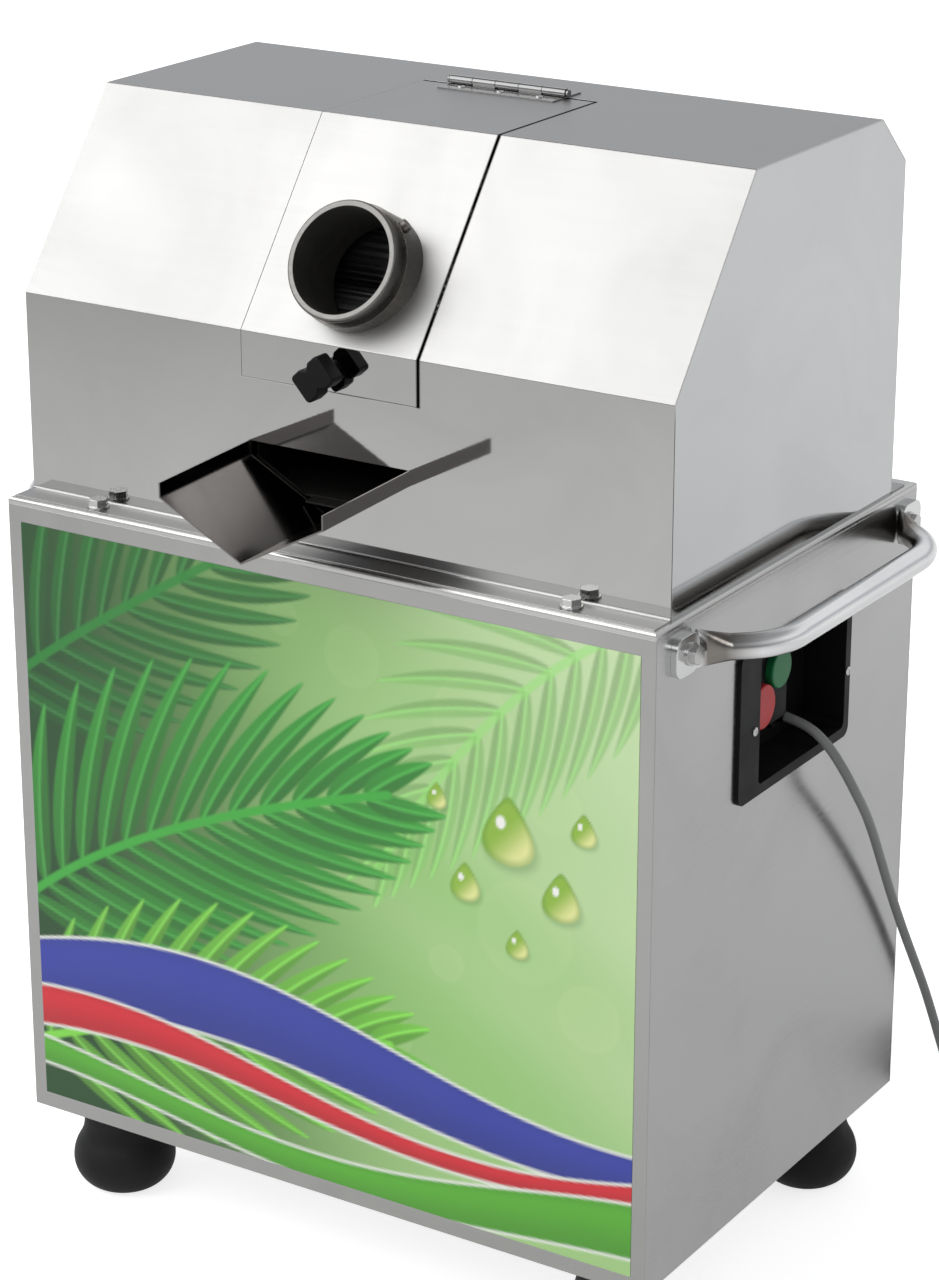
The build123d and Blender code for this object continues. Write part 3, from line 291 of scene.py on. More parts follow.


# tube steel: the metal outside; within the bore, found by the distance to the tube's axis, painted shade:
# near black with a faint mottle, dull and not metallic
def boreShadePaint(material, bore):
    tree = material.node_tree
    inputs = tree.nodes["Principled BSDF"].inputs
    fromMouth = vectored(tree, "SUBTRACT", coordinate(tree), bore["at"])
    away = vectored(tree, "LENGTH", vectored(tree, "CROSS_PRODUCT", fromMouth, bore["axis"]))
    outside = mapRange(tree, away, *bore["edge"])
    stain = useGroup(tree, marksGroup, Scale=bore["marks"]).outputs["Marks"]
    inner = mixed(tree, stain, bore["tone"], [bore["stainGain"] * c for c in bore["tone"]])
    dull = addNode(tree, "ShaderNodeMix", data_type="FLOAT")
    for slot, value in ((0, outside), (2, bore["rough"]), (3, inputs["Roughness"].links[0].from_socket)):
        feed(tree, value, dull.inputs[slot])
    wire(tree, outside, inputs["Metallic"])
    wire(tree, mixed(tree, outside, inner, inputs["Base Color"].links[0].from_socket), inputs["Base Color"])
    wire(tree, dull.outputs[0], inputs["Roughness"])
    return material


# moulded and painted pieces: pebbled bump, mottled roughness, dust on top
mouldBase = {"pebble": 900.0, "mottleSpan": (0.3, 0.7), "mottleGain": 1.35, "mottleLift": 0.001,
             "edge": 0.0008, "dust": 0.2, "dustTone": (0.3, 0.29, 0.27), "bump": 0.08, "bumpDepth": 0.0003,
             "gloss": 0.5, "coat": 0.0, "coatRough": 0.12}


def moulded(name, special):
    look = {**mouldBase, **special}
    material, tree, shader = newMaterial(name)
    grain = useGroup(tree, mouldGroup, Scale=look["pebble"])
    dust = useGroup(tree, dustGroup, Amount=look["dust"])
    edge = useGroup(tree, edgeGroup, Radius=look["edge"])
    mottled = [look["mottleGain"] * c + look["mottleLift"] for c in look["tone"]]
    colour = mixed(tree, grain.outputs["Mottle"], look["tone"], mottled)
    wire(tree, mixed(tree, dust.outputs["Dust"], colour, look["dustTone"]), shader.inputs["Base Color"])
    rough = mapRange(tree, grain.outputs["Mottle"], *look["mottleSpan"], *look["rough"])
    wire(tree, rough, shader.inputs["Roughness"])
    bumped(tree, shader, look, grain.outputs["Height"], edge.outputs["Normal"])
    for label, key in (("Specular IOR Level", "gloss"), ("Coat Weight", "coat"),
                       ("Coat Roughness", "coatRough")):
        shader.inputs[label].default_value = look[key]
    return material


# finishes for the record's material slots, then the sheets that need their own; places come from the frame
acrossGrain = (4, 260, 260)
depthGrain = (260, 4, 260)
roundGrain = (140, 140, 140)
collarGrain = (60, 160, 160)
slantNormal = (0, -0.795, 0.606)
upNormal = (0, 0, 1)
lidLow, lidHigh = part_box("lid_panel")
gutterLow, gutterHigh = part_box("juice_gutter")
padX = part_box("right_handle")[0].x
finishes = {
    "brushed_sheet": metal("satinSheet", {"tone": (0.36, 0.357, 0.35), "stretch": acrossGrain,
                                          "rough": (0.09, 0.16)}),
    "polished_tube": metal("polishedTube", {"tone": (0.74, 0.745, 0.745), "stretch": roundGrain,
                                            "rough": (0.13, 0.2), "bump": 0.012, "smear": 0.03,
                                            # painted shade on the handle's inner side and along its necks
                                            "shade": {"tone": (0.2, 0.185, 0.17), "lean": (-0.02, -0.22),
                                                      "from": (padX + 0.0045, padX + 0.0105),
                                                      "to": (padX + 0.022, padX + 0.042)}}),
    "bright_steel": metal("turnedSteel", {"tone": (0.55, 0.55, 0.54), "stretch": roundGrain,
                                          "rough": (0.16, 0.3)}),
    "dark_collar": metal("darkCollar", {"tone": (0.14, 0.13, 0.12), "stretch": collarGrain,
                                        "rough": (0.22, 0.4)}),
    "mill_steel": metal("millPlate", {"tone": (0.4, 0.4, 0.4), "stretch": roundGrain, "rough": (0.28, 0.45)}),
    "bronze": metal("bushBronze", {"tone": (0.55, 0.36, 0.15), "stretch": roundGrain, "rough": (0.25, 0.4)}),
    "painted_frame": moulded("greyPrimer", {"tone": (0.2, 0.21, 0.22), "rough": (0.5, 0.7), "pebble": 500.0}),
    "painted_drive": moulded("blueEnamel", {"tone": (0.04, 0.13, 0.26), "rough": (0.3, 0.45),
                                            "pebble": 350.0, "coat": 0.4}),
    "cast_pulley": metal("castPulley", {"tone": (0.22, 0.22, 0.22), "stretch": roundGrain,
                                        "rough": (0.35, 0.6)}),
    "black_rubber": moulded("blackRubber", {"tone": (0.005, 0.005, 0.0055), "rough": (0.52, 0.7),
                                            "pebble": 700.0, "dust": 0.04, "gloss": 0.25}),
    "black_plastic": moulded("blackPlastic", {"tone": (0.004, 0.004, 0.0045), "rough": (0.4, 0.54),
                                              "dust": 0.02, "gloss": 0.14}),
    "green_plastic": moulded("greenButton", {"tone": (0.008, 0.15, 0.045), "rough": (0.3, 0.42),
                                             "bump": 0.03, "dust": 0.02, "gloss": 0.3}),
    "red_plastic": moulded("redButton", {"tone": (0.46, 0.018, 0.022), "rough": (0.3, 0.42),
                                         "bump": 0.03, "dust": 0.02, "gloss": 0.3}),
    "grey_cord": moulded("greySheath", {"tone": (0.17, 0.175, 0.17), "rough": (0.38, 0.5),
                                        "pebble": 1500.0, "dust": 0.1}),
}
sideSheet = metal("satinSideSheet", {"tone": (0.45, 0.452, 0.446), "stretch": depthGrain,
                                     "rough": (0.18, 0.26), "bump": 0.02})
# painted light: a lighter tone than the cabinet's sides, standing in for the brighter light the hood's sides
# mirror
hoodSideSheet = metal("hoodSideSheet", {"tone": (0.53, 0.54, 0.542), "stretch": depthGrain,
                                        "rough": (0.03, 0.06), "bump": 0.012, "smear": 0.02})
hoodSheet = metal("hoodSheet", {"tone": (0.42, 0.417, 0.409), "stretch": acrossGrain, "rough": (0.02, 0.05),
                                "bump": 0.012, "smear": 0.02, "edge": 0.0004,
                                "satin": [(slantNormal, 0.44), (upNormal, 0.3)],
                                # painted shade: the hood's top darker than its other faces
                                "flat": {"normal": upNormal, "tone": (0.34, 0.34, 0.339)},
                                # painted shade: near black on the wall's cut edges and inner side, and in the
                                # gutter's throat
                                "inside": {"from": (lidLow.y + 0.00005, lidLow.y + 0.0003),
                                           "to": (lidLow.y + 0.0085, lidLow.y + 0.0135),
                                           "under": (lidLow.z + 0.021, lidLow.z + 0.032),
                                           "tone": (0.05, 0.047, 0.043)},
                                "seam": {"at": lidHigh.x + 0.001, "half": (0.0015, 0.0021),
                                         "above": (lidLow.z - 0.001, lidLow.z - 0.0004),
                                         "before": (lidHigh.y, lidHigh.y + 0.0006),
                                         "tone": (0.12, 0.118, 0.115)},
                                "throat": {"middle": (gutterLow.x + gutterHigh.x) / 2,
                                           "half": (gutterHigh.x - gutterLow.x) / 2 - 0.0012,
                                           "vee": gutterHigh.z - 0.0465, "slope": 0.5255,
                                           "top": gutterHigh.z, "soft": 0.0004}})
gutterSheet = metal("gutterSheet", {"tone": (0.17, 0.159, 0.153), "stretch": acrossGrain,
                                    "rough": (0.1, 0.15), "bump": 0.012, "smear": 0.02, "edge": 0.0001,
                                    "wear": 1.0})
hingeSteel = metal("hingeSteel", {"tone": (0.2, 0.2, 0.2), "stretch": roundGrain, "rough": (0.08, 0.16),
                                  # painted highlight: the leaf's top lighter than its darker sides
                                  "edge": 0.0003, "flat": {"normal": upNormal, "tone": (0.41, 0.407, 0.4)}})
deckSheet = metal("satinDeck", {"tone": (0.5, 0.495, 0.485), "stretch": acrossGrain, "rough": (0.14, 0.24),
                                "edge": 0.0012})
# painted shade: the tray inside the hood, near black
innerSheet = metal("innerSheet", {"tone": (0.055, 0.053, 0.05), "stretch": acrossGrain,
                                  "rough": (0.42, 0.55), "edge": 0.0001, "wear": 1.0})
# painted shade: the rollers inside the mill, dark and dull
rollerSteel = metal("rollerSteel", {"tone": (0.13, 0.13, 0.127), "stretch": roundGrain, "rough": (0.4, 0.55)})
# painted shade: the bore's near-black inside tone
tubeBore = {"at": (0.005, -0.12855, 0.78372), "axis": (0, -0.891007, 0.45399), "edge": (0.0391, 0.0394),
            "tone": (0.02, 0.019, 0.016), "marks": 40.0, "stainGain": 1.5, "rough": 0.75}
tubeSteel = metal("feedSteel", {"tone": (0.155, 0.151, 0.145), "stretch": roundGrain, "rough": (0.26, 0.4),
                                "bump": 0.02})
feedSteel = boreShadePaint(tubeSteel, tubeBore)
sheets = {sideSheet: ("left_panel", "right_panel"), hoodSideSheet: ("hood_left_side", "hood_right_side"),
          deckSheet: ("deck",), hoodSheet: ("hood_skin", "lid_panel"), gutterSheet: ("juice_gutter",),
          innerSheet: ("juice_tray",), feedSteel: ("feed_tube",), finishes["dark_collar"]: ("collar_screw",),
          rollerSteel: ("top_roller", "front_roller", "rear_roller"),
          hingeSteel: ("hinge_hood_leaf", "hinge_lid_leaf", "hinge_pin")}


def dress(piece, material):
    piece.data.materials.clear()
    piece.data.materials.append(material)


for subpart in frame["record"]["subparts"]:
    finish = finishes.get(subpart["material_slot"])
    if finish:
        dress(nodes[subpart["node"]], finish)
for sheet, names in sheets.items():
    for name in names:
        dress(nodes[name], sheet)
print("CAD nodes dressed")


# soft step: cubic ease from 0 at low to 1 at high
def softStep(x, low, high):
    t = np.clip((x - low) / (high - low), 0, 1)
    return t * t * (3 - 2 * t)


# mains cord: the route's own points, then the coil's turns and the plug's tail
cordLook = {"radius": 0.00375, "exit": (0.257, 0.0485, 0.442), "length": 1.882, "halfTurns": 10, "climbAt": 5,
            "perHalfTurn": 8, "pitch": 0.0083, "innerRadius": 0.031325, "tail": 0.0425, "bevelSteps": 4,
            "splineSteps": 8, "order": 3}
cordRoute = np.array([
    (257, 48.5, 442), (275, 48.5, 439.57), (291, 50.5, 427.41), (302, 57.5, 407.08),
    (306.5, 71.5, 383.21), (304.5, 92.5, 360.67), (300.5, 115.5, 334.59), (296.5, 138.5, 304.98),
    (293, 162.5, 271.83), (291, 186.5, 236.91), (290.3, 208.5, 204.2), (290.3, 228.5, 174.15),
    (290.6, 246.5, 145.86), (291.4, 262.5, 116.25), (293, 277.5, 84.86), (295.5, 291.5, 54.81),
    (297.5, 307.5, 26.96), (295.5, 326.5, 11.29), (288.5, 344.5, 5.1), (280, 361.5, 5.1)]) / 1000


# coil: a spiral whose radius falls by half a pitch each half turn, climbs a layer, and grows again
def coilPoints(entry, heading):
    look = cordLook
    inward = np.array((heading[1], -heading[0], 0))
    half = np.linspace(0, look["halfTurns"], look["halfTurns"] * look["perHalfTurn"] + 1)[:, None]
    middle = look["climbAt"]
    climb = np.clip(half - middle, 0, 1)
    step = look["pitch"] / 2
    away = np.maximum(np.maximum(middle - half, half - middle - 1), 0)
    radius = look["innerRadius"] + step * away - step / 2 * np.sin(np.pi * climb)
    outer = look["innerRadius"] + step * middle
    centre = entry + heading * 2 * look["radius"] + inward * (outer + step * climb)
    outside = radius / np.cos(np.pi / look["perHalfTurn"] / 2)  # a spline lies inside its control points
    turns = centre + outside * (heading * np.sin(np.pi * half) - inward * np.cos(np.pi * half))
    turns[:, 2:] += look["pitch"] * softStep(climb, 0, 1)
    tail = turns[-1] + heading * np.array((0.5, 1))[:, None] * look["tail"]
    return np.vstack((turns, tail))


landing = cordRoute[-1] - cordRoute[-2]
landing[2] = 0
cordPoints = np.vstack((cordRoute, coilPoints(cordRoute[-1], landing / np.linalg.norm(landing))))
cordCurve = bpy.data.curves.new("mainsCord", "CURVE")
cordCurve.dimensions = "3D"
cordCurve.bevel_depth = cordLook["radius"]
cordCurve.bevel_resolution = cordLook["bevelSteps"]
cordCurve.resolution_u = cordLook["splineSteps"]
cordCurve.use_fill_caps = True
cordSpline = cordCurve.splines.new("NURBS")
cordSpline.points.add(len(cordPoints) - 1)
cordSpline.points.foreach_set("co", np.column_stack((cordPoints, np.ones(len(cordPoints)))).ravel())
cordSpline.order_u = cordLook["order"]
cordSpline.use_endpoint_u = True
cordCurve.materials.append(finishes["grey_cord"])
cord = bpy.data.objects.new("mainsCord", cordCurve)
scene.collection.objects.link(cord)
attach(cord, "cabinet")
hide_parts("mains_cord", "cord_coil")
print("cord laid:", len(cordPoints), "points")


# grids: quads between neighbouring rows and columns, closed round the columns where asked
def gridQuads(rows, columns, closed=False):
    r, c = np.meshgrid(np.arange(rows - 1), np.arange(columns if closed else columns - 1), indexing="ij")
    nextC = (c + 1) % columns
    return np.stack((r * columns + c, r * columns + nextC, (r + 1) * columns + nextC, (r + 1) * columns + c),
                    -1).reshape(-1, 4)


def addPiece(name, verts, faces, body, material, smooth=True):
    mesh = bpy.data.meshes.new(name)
    mesh.from_pydata(verts, [], faces)
    mesh.polygons.foreach_set("use_smooth", np.full(len(mesh.polygons), smooth))
    mesh.materials.append(material)
    piece = bpy.data.objects.new(name, mesh)
    scene.collection.objects.link(piece)
    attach(piece, body)
    return piece


# printed front: fronds, ribbons and drops painted by formula on a fine grid, in millimetres
printLook = {"columns": 321, "rows": 286, "size": (537, 478), "rough": (0.3, 0.42), "marks": 9.0,
             "pebble": 420.0, "bump": 0.03, "bumpDepth": 0.0002, "coat": 0.15, "coatRough": 0.2}


# tint: a display colour of 0 to 255 taken to linear light by the sRGB curve
def tint(red, green, blue):
    share = np.array((red, green, blue)) / 255
    return np.where(share > 0.04045, ((share + 0.055) / 1.055) ** 2.4, share / 12.92)


# paint over: each colour moved towards the paint by the mask's share
def paintOver(colours, paint, mask):
    return colours + (paint - colours) * mask[..., None]


leafLook = {"rise": 0.45, "fall": 0.8, "swell": 1.75, "least": 0.01, "soft": 1.3, "ends": 0.03, "lit": 1.08,
            "shaded": 0.74, "rootGain": 0.8, "tipMore": 0.4, "rib": (2.4, 0.2), "ribGain": 1.8,
            "ribLift": 0.03, "ribShare": 0.75}


# leaf: a blade along a bending line, widest a third of the way, with a pale rib and a darker half
def paintLeaf(colours, u, v, leaf):
    look = leafLook
    angle = np.radians(leaf["angle"])
    s = ((u - leaf["at"][0]) * np.cos(angle) + (v - leaf["at"][1]) * np.sin(angle)) / leaf["length"]
    t = (v - leaf["at"][1]) * np.cos(angle) - (u - leaf["at"][0]) * np.sin(angle)
    inside = np.clip(s, 0, 1)
    t = t + leaf["droop"] * inside ** 2
    half = leaf["half"] * inside ** look["rise"] * (1 - inside) ** look["fall"]
    half = half * look["swell"] + look["least"]
    mask = softStep(np.abs(t), half + look["soft"], half - look["soft"])
    mask = mask * softStep(s, 0, look["ends"]) * softStep(s, 1, 1 - look["ends"])
    light = np.where(t > 0, look["lit"], look["shaded"]) * (look["rootGain"] + look["tipMore"] * inside)
    body = paintOver(leaf["tone"] * light[..., None], leaf["tone"] * look["ribGain"] + look["ribLift"],
                     softStep(np.abs(t), *look["rib"]) * look["ribShare"])
    return paintOver(colours, body, mask * leaf["strength"])


frondLook = {"span": (0.1, 0.96), "archFrom": 0.2, "archMore": 0.7, "open": 66, "close": 42, "droop": 0.16,
             "rootGain": 0.86, "tipMore": 0.3, "newtonSteps": 4, "rib": (4.6, 2.2), "ribGain": 1.7}


# frond: a rib along a parabola, with pairs of leaflets that open less and grow shorter towards its tip
def paintFrond(colours, u, v, frond):
    look = frondLook
    root, run, bend = (np.array(frond[key], float) for key in ("at", "run", "bend"))
    for s in np.linspace(*look["span"], frond["pairs"]):
        ahead = run + 2 * bend * s
        heading = np.degrees(np.arctan2(ahead[1], ahead[0]))
        length = frond["length"] * np.sin(np.pi * (look["archFrom"] + look["archMore"] * s))
        opening = look["open"] - look["close"] * s
        tone = frond["tone"] * (look["rootGain"] + look["tipMore"] * s)
        for side in (1, -1):
            colours = paintLeaf(colours, u, v, {
                "at": root + run * s + bend * s * s, "angle": heading + side * opening, "length": length,
                "half": frond["half"], "droop": side * look["droop"] * length, "strength": frond["strength"],
                "tone": tone})
    spot = np.stack((u, v), -1) - root
    s = (spot @ (run + bend)) / ((run + bend) @ (run + bend))
    for step in range(look["newtonSteps"]):  # towards the nearest point of the parabola
        s = np.clip(s, 0, 1)[..., None]
        ahead = run + 2 * bend * s
        gap = spot - run * s - bend * s * s
        s = s[..., 0] + (gap * ahead).sum(-1) / (ahead * ahead).sum(-1)
    reach = np.hypot(gap[..., 0], gap[..., 1])
    mask = softStep(reach, *look["rib"]) * frond["strength"]
    return paintOver(colours, frond["tone"] * look["ribGain"], mask)


glowLook = {"tone": tint(214, 238, 176), "edge": (1.04, 0.94), "middle": 0.1, "rim": 0.07}


# glow: a soft disc of light with a slightly brighter rim
def paintGlow(colours, u, v, glow):
    look = glowLook
    r = np.hypot(u - glow[0], v - glow[1]) / glow[2]
    mask = softStep(r, *look["edge"]) * (look["middle"] + look["rim"] * r ** 4)
    return paintOver(colours, look["tone"], mask * glow[3])


ribbonLook = {"swell": 0.45, "swellWave": 170, "hem": (3.4, 1.2), "hemTone": tint(244, 247, 238),
              "hemShare": 0.95, "base": 0.86, "lift": 0.3, "dim": 0.16, "crest": 0.6, "soft": 1.2}


# ribbon: a band about a sine line, swelling along its length, lit on its upper half, between two white hems
def paintRibbon(colours, u, v, ribbon):
    look = ribbonLook
    wave = np.sin(u / ribbon["wave"] + ribbon["shift"])
    middle = ribbon["level"] + ribbon["lean"] * u + ribbon["swing"] * wave
    half = ribbon["half"] * (1 + look["swell"] * np.sin(u / look["swellWave"] + 2 * ribbon["shift"]))
    across = (v - middle) / half
    reach = np.abs(across) * half
    hem = softStep(reach, half + look["hem"][0], half + look["hem"][1])
    colours = paintOver(colours, look["hemTone"], hem * look["hemShare"])
    light = look["base"] + look["lift"] * softStep(across, -1, look["crest"])
    light = light - look["dim"] * softStep(across, look["crest"], 1)
    return paintOver(colours, ribbon["tone"] * light[..., None],
                     softStep(reach, half + look["soft"], half - look["soft"]))


dropLook = {"taper": 0.42, "taperSpan": (-0.9, 1.5), "flatten": 0.8, "lower": 0.12, "soft": 2.2,
            "shadowAt": (0.14, -0.2), "shadow": (1.2, 0.8), "shadowShare": 0.4,
            "shadowTone": tint(52, 120, 40), "tone": tint(146, 190, 62), "leaveTone": tint(244, 244, 168),
            "leaveLean": 0.9, "leave": (-0.5, 1.5), "rimTone": tint(92, 150, 44), "rim": (0.72, 1),
            "rimShare": 0.5, "glintTone": tint(253, 253, 246), "glintAt": (-0.3, 0.42), "glint": (0.24, 0.14)}


# drop's round: the distance from its middle, with the width narrowing upwards
def dropRound(x, y):
    look = dropLook
    width = 1 - look["taper"] * np.clip(y, *look["taperSpan"])
    return np.hypot(x / width, look["flatten"] * y - look["lower"])


# drop: dark where light enters, pale where it leaves, with a small highlight and a shadow beside it
def paintDrop(colours, u, v, drop):
    look = dropLook
    x = (u - drop[0]) / drop[2]
    y = (v - drop[1]) / drop[2]
    r = dropRound(x, y)
    shadow = dropRound(x - look["shadowAt"][0], y - look["shadowAt"][1])
    colours = paintOver(colours, look["shadowTone"], look["shadowShare"] * softStep(shadow, *look["shadow"]))
    body = paintOver(np.broadcast_to(look["tone"], colours.shape), look["leaveTone"],
                     softStep(x - look["leaveLean"] * y, *look["leave"]))
    body = paintOver(body, look["rimTone"], look["rimShare"] * softStep(r, *look["rim"]))
    glint = np.hypot(x - look["glintAt"][0], look["flatten"] * (y - look["glintAt"][1]))
    body = paintOver(body, look["glintTone"], softStep(glint, *look["glint"]))
    edge = look["soft"] / drop[2]
    return paintOver(colours, body, softStep(r, 1 + edge / 2, 1 - edge / 2))


fronds = [
    {"at": (600, 520), "run": (-300, -60), "bend": (20, -190), "length": 130, "half": 9, "pairs": 13,
     "tone": tint(120, 186, 92), "strength": 0.55},
    {"at": (-40, 330), "run": (170, 150), "bend": (120, 40), "length": 150, "half": 10, "pairs": 12,
     "tone": tint(24, 104, 34), "strength": 0.9},
    {"at": (-30, 150), "run": (210, 210), "bend": (150, -30), "length": 180, "half": 12, "pairs": 14,
     "tone": tint(46, 136, 44), "strength": 1.0},
    {"at": (-20, 40), "run": (260, 120), "bend": (90, -30), "length": 150, "half": 11, "pairs": 13,
     "tone": tint(104, 176, 58), "strength": 1.0},
]
glows = [(402, 402, 34, 1), (470, 352, 22, 1), (352, 330, 18, 0.8), (446, 250, 40, 0.8), (500, 196, 26, 1),
         (380, 210, 15, 0.9), (300, 430, 24, 0.6), (240, 448, 14, 0.5), (512, 430, 18, 1),
         (330, 140, 20, 0.7)]
ribbons = [
    {"level": 96, "lean": 0.02, "swing": 26, "wave": 118, "shift": 0.4, "half": 21,
     "tone": tint(46, 58, 156)},
    {"level": 58, "lean": 0.03, "swing": 22, "wave": 112, "shift": 1.1, "half": 12,
     "tone": tint(205, 34, 46)},
    {"level": 24, "lean": 0.0, "swing": 16, "wave": 104, "shift": 2.0, "half": 16,
     "tone": tint(84, 168, 44)},
]
drops = [(432, 322, 21), (476, 282, 15), (396, 276, 12), (440, 238, 9), (494, 338, 10), (372, 338, 8)]
groundLook = {"deep": tint(16, 70, 24), "pale": tint(156, 206, 122), "rise": 0.12, "span": (0.1, 0.82),
              "cornerTone": tint(212, 235, 186), "cornerRise": 0.5, "corner": (0.85, 1.5),
              "cornerShare": 0.8, "rayTone": tint(226, 240, 196), "rayLean": 0.45, "rayWave": 26,
              "rayDrift": 1.2, "driftWave": 71, "rays": (0.2, 0.8), "rayShare": 0.16}


# front: deep green at the left to pale green at the right, soft rays, then glows, fronds, ribbons and drops
def paintFront(u, v):
    look = groundLook
    share = u / printLook["size"][0]
    height = v / printLook["size"][1]
    blend = softStep(share + look["rise"] * height, *look["span"])[..., None]
    colours = look["deep"] * (1 - blend) + look["pale"] * blend
    corner = softStep(share + look["cornerRise"] * height, *look["corner"])
    colours = paintOver(colours, look["cornerTone"], corner * look["cornerShare"])
    slope = look["rayLean"] * u + v
    rays = 0.5 + 0.5 * np.sin(slope / look["rayWave"] + look["rayDrift"] * np.sin(slope / look["driftWave"]))
    colours = paintOver(colours, look["rayTone"], look["rayShare"] * rays * softStep(share, *look["rays"]))
    layers = ((paintGlow, glows), (paintFrond, fronds), (paintRibbon, ribbons), (paintDrop, drops))
    for paint, items in layers:
        for item in items:
            colours = paint(colours, u, v, item)
    return colours


def printedFilm():
    material, tree, shader = newMaterial("printedFilm")
    paint = addNode(tree, "ShaderNodeVertexColor", layer_name="printTint")
    marks = useGroup(tree, marksGroup, Scale=printLook["marks"]).outputs["Marks"]
    film = useGroup(tree, mouldGroup, Scale=printLook["pebble"]).outputs["Height"]
    wire(tree, paint.outputs["Color"], shader.inputs["Base Color"])
    wire(tree, mapRange(tree, marks, 0, 1, *printLook["rough"]), shader.inputs["Roughness"])
    bumped(tree, shader, printLook, film)
    shader.inputs["Coat Weight"].default_value = printLook["coat"]
    shader.inputs["Coat Roughness"].default_value = printLook["coatRough"]
    return material


# printed sheet: a closed film, with the painted grid in front, its border carried back, and one face behind
def printedFront():
    low, high = (np.array(corner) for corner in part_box("front_print"))
    rows, columns = printLook["rows"], printLook["columns"]
    v, u = np.meshgrid(np.linspace(0, 1, rows), np.linspace(0, 1, columns), indexing="ij")
    front = np.stack((low[0] + (high[0] - low[0]) * u, np.full_like(u, low[1]),
                      low[2] + (high[2] - low[2]) * v), -1).reshape(-1, 3)
    index = np.arange(rows * columns).reshape(rows, columns)
    border = np.concatenate((index[0, :-1], index[:-1, -1], index[-1, :0:-1], index[:0:-1, 0]))
    back = front[border] + (0, high[1] - low[1], 0)
    behind = len(front) + np.arange(len(border))
    ring = np.stack((np.roll(border, -1), border, behind, np.roll(behind, -1)), -1)
    faces = gridQuads(rows, columns).tolist() + ring.tolist() + [behind[::-1].tolist()]
    verts = np.vstack((front, back))
    piece = addPiece("printedFront", verts, faces, "cabinet", printedFilm(), False)
    colours = paintFront(u * printLook["size"][0], v * printLook["size"][1]).reshape(-1, 3)
    colours = np.vstack((colours, colours[border]))
    layer = piece.data.color_attributes.new("printTint", "FLOAT_COLOR", "POINT")
    layer.data.foreach_set("color", np.column_stack((np.clip(colours, 0, 1), np.ones(len(colours)))).ravel())
    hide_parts("front_print")


printedFront()
print("front printed")

# screws: a domed head with a cross cut into it, seated a little into the sheet
screwLook = {"rings": 14, "around": 48, "sink": 0.0002, "fall": 0.55, "cut": (0.18, 0.1),
             "cutEnd": (0.7, 0.55), "deep": 0.5, "guide": (0.6, 0.48, 0.64)}


# heads: rounds whose height falls with the square of the radius, less a cross that fades outwards
def screwHeads(name, spots, normal, radius, height, body, material):
    look = screwLook
    spots = np.array(spots, float)
    normal = np.array(normal, float)
    side = np.cross(normal, look["guide"])
    side = side / np.linalg.norm(side)
    count = look["around"]
    share, angle = np.meshgrid(np.linspace(1 / look["rings"], 1, look["rings"]),
                               np.linspace(0, 2 * np.pi, count, endpoint=False), indexing="ij")
    x, y = share * np.cos(angle), share * np.sin(angle)
    cross = np.maximum(softStep(np.abs(x), *look["cut"]), softStep(np.abs(y), *look["cut"]))
    cross = cross * softStep(share, *look["cutEnd"])
    top = height * (1 - look["fall"] * share ** 2) - height * look["deep"] * cross
    rows = np.stack((radius * x, radius * y, top), -1)
    seat = np.stack((radius * x[-1], radius * y[-1], np.full(count, -look["sink"])), -1)[None]
    dome = np.vstack(([[0, 0, height * (1 - look["deep"])]], np.vstack((rows, seat)).reshape(-1, 3),
                      [[0, 0, -look["sink"]]]))
    ring = np.arange(count)
    ahead = (ring + 1) % count
    last = len(dome) - 1
    caps = np.vstack((np.stack((np.zeros(count, int), 1 + ring, 1 + ahead), -1),
                      np.stack((np.full(count, last), last - count + ahead, last - count + ring), -1)))
    walls = gridQuads(look["rings"] + 1, count, True)[:, ::-1] + 1
    verts = (spots[:, None] + dome @ np.stack((side, np.cross(normal, side), normal))).reshape(-1, 3)
    faces = [face for k in range(len(spots)) for group in (caps, walls)
             for face in (group + k * len(dome)).tolist()]
    addPiece(name, verts, faces, body, material)


# spots: the ends of the switch's flange, three along each hinge leaf, and down both sides of the rear panel
spotLook = {"flangeRise": 0.052, "flangeFront": 0.023, "flangeBack": 0.004, "hingePitch": 0.034,
            "leafInset": 0.008, "leafThick": 0.0012, "rearInset": 0.012, "rearRise": 0.024, "rearDrop": 0.02}
flangeLow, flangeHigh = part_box("switch_box")
hoodLeafLow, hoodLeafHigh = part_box("hinge_hood_leaf")
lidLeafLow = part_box("hinge_lid_leaf")[0]
rearLow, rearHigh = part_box("rear_panel")
flangeY = (flangeLow.y + spotLook["flangeFront"], flangeHigh.y - spotLook["flangeBack"])
hingeX = (hoodLeafLow.x + hoodLeafHigh.x) / 2 + spotLook["hingePitch"] * np.array((-1, 0, 1))
leafTop = hoodLeafLow.z + spotLook["leafThick"]
rearX = rearHigh.x - spotLook["rearInset"]
rearZ = np.linspace(rearLow.z + spotLook["rearRise"], rearHigh.z - spotLook["rearDrop"], 3)
flangeSpots = [(flangeHigh.x, y, flangeLow.z + spotLook["flangeRise"]) for y in flangeY]
hoodSpots = [(x, hoodLeafHigh.y - spotLook["leafInset"], leafTop) for x in hingeX]
lidSpots = [(x, lidLeafLow.y + spotLook["leafInset"], leafTop) for x in hingeX]
rearSpots = [(x, rearHigh.y, z) for x in (-rearX, rearX) for z in rearZ]
screwSets = {
    "switchScrews": (flangeSpots, (1, 0, 0), 0.0034, 0.0016, "cabinet"),
    "hoodHingeScrews": (hoodSpots, upNormal, 0.003, 0.0012, "cabinet"),
    "lidHingeScrews": (lidSpots, upNormal, 0.003, 0.0012, "lid"),
    "rearPanelScrews": (rearSpots, (0, 1, 0), 0.0045, 0.0022, "cabinet"),
}
for name, (spots, normal, radius, height, body) in screwSets.items():
    screwHeads(name, spots, normal, radius, height, body, finishes["bright_steel"])
print("screws set")

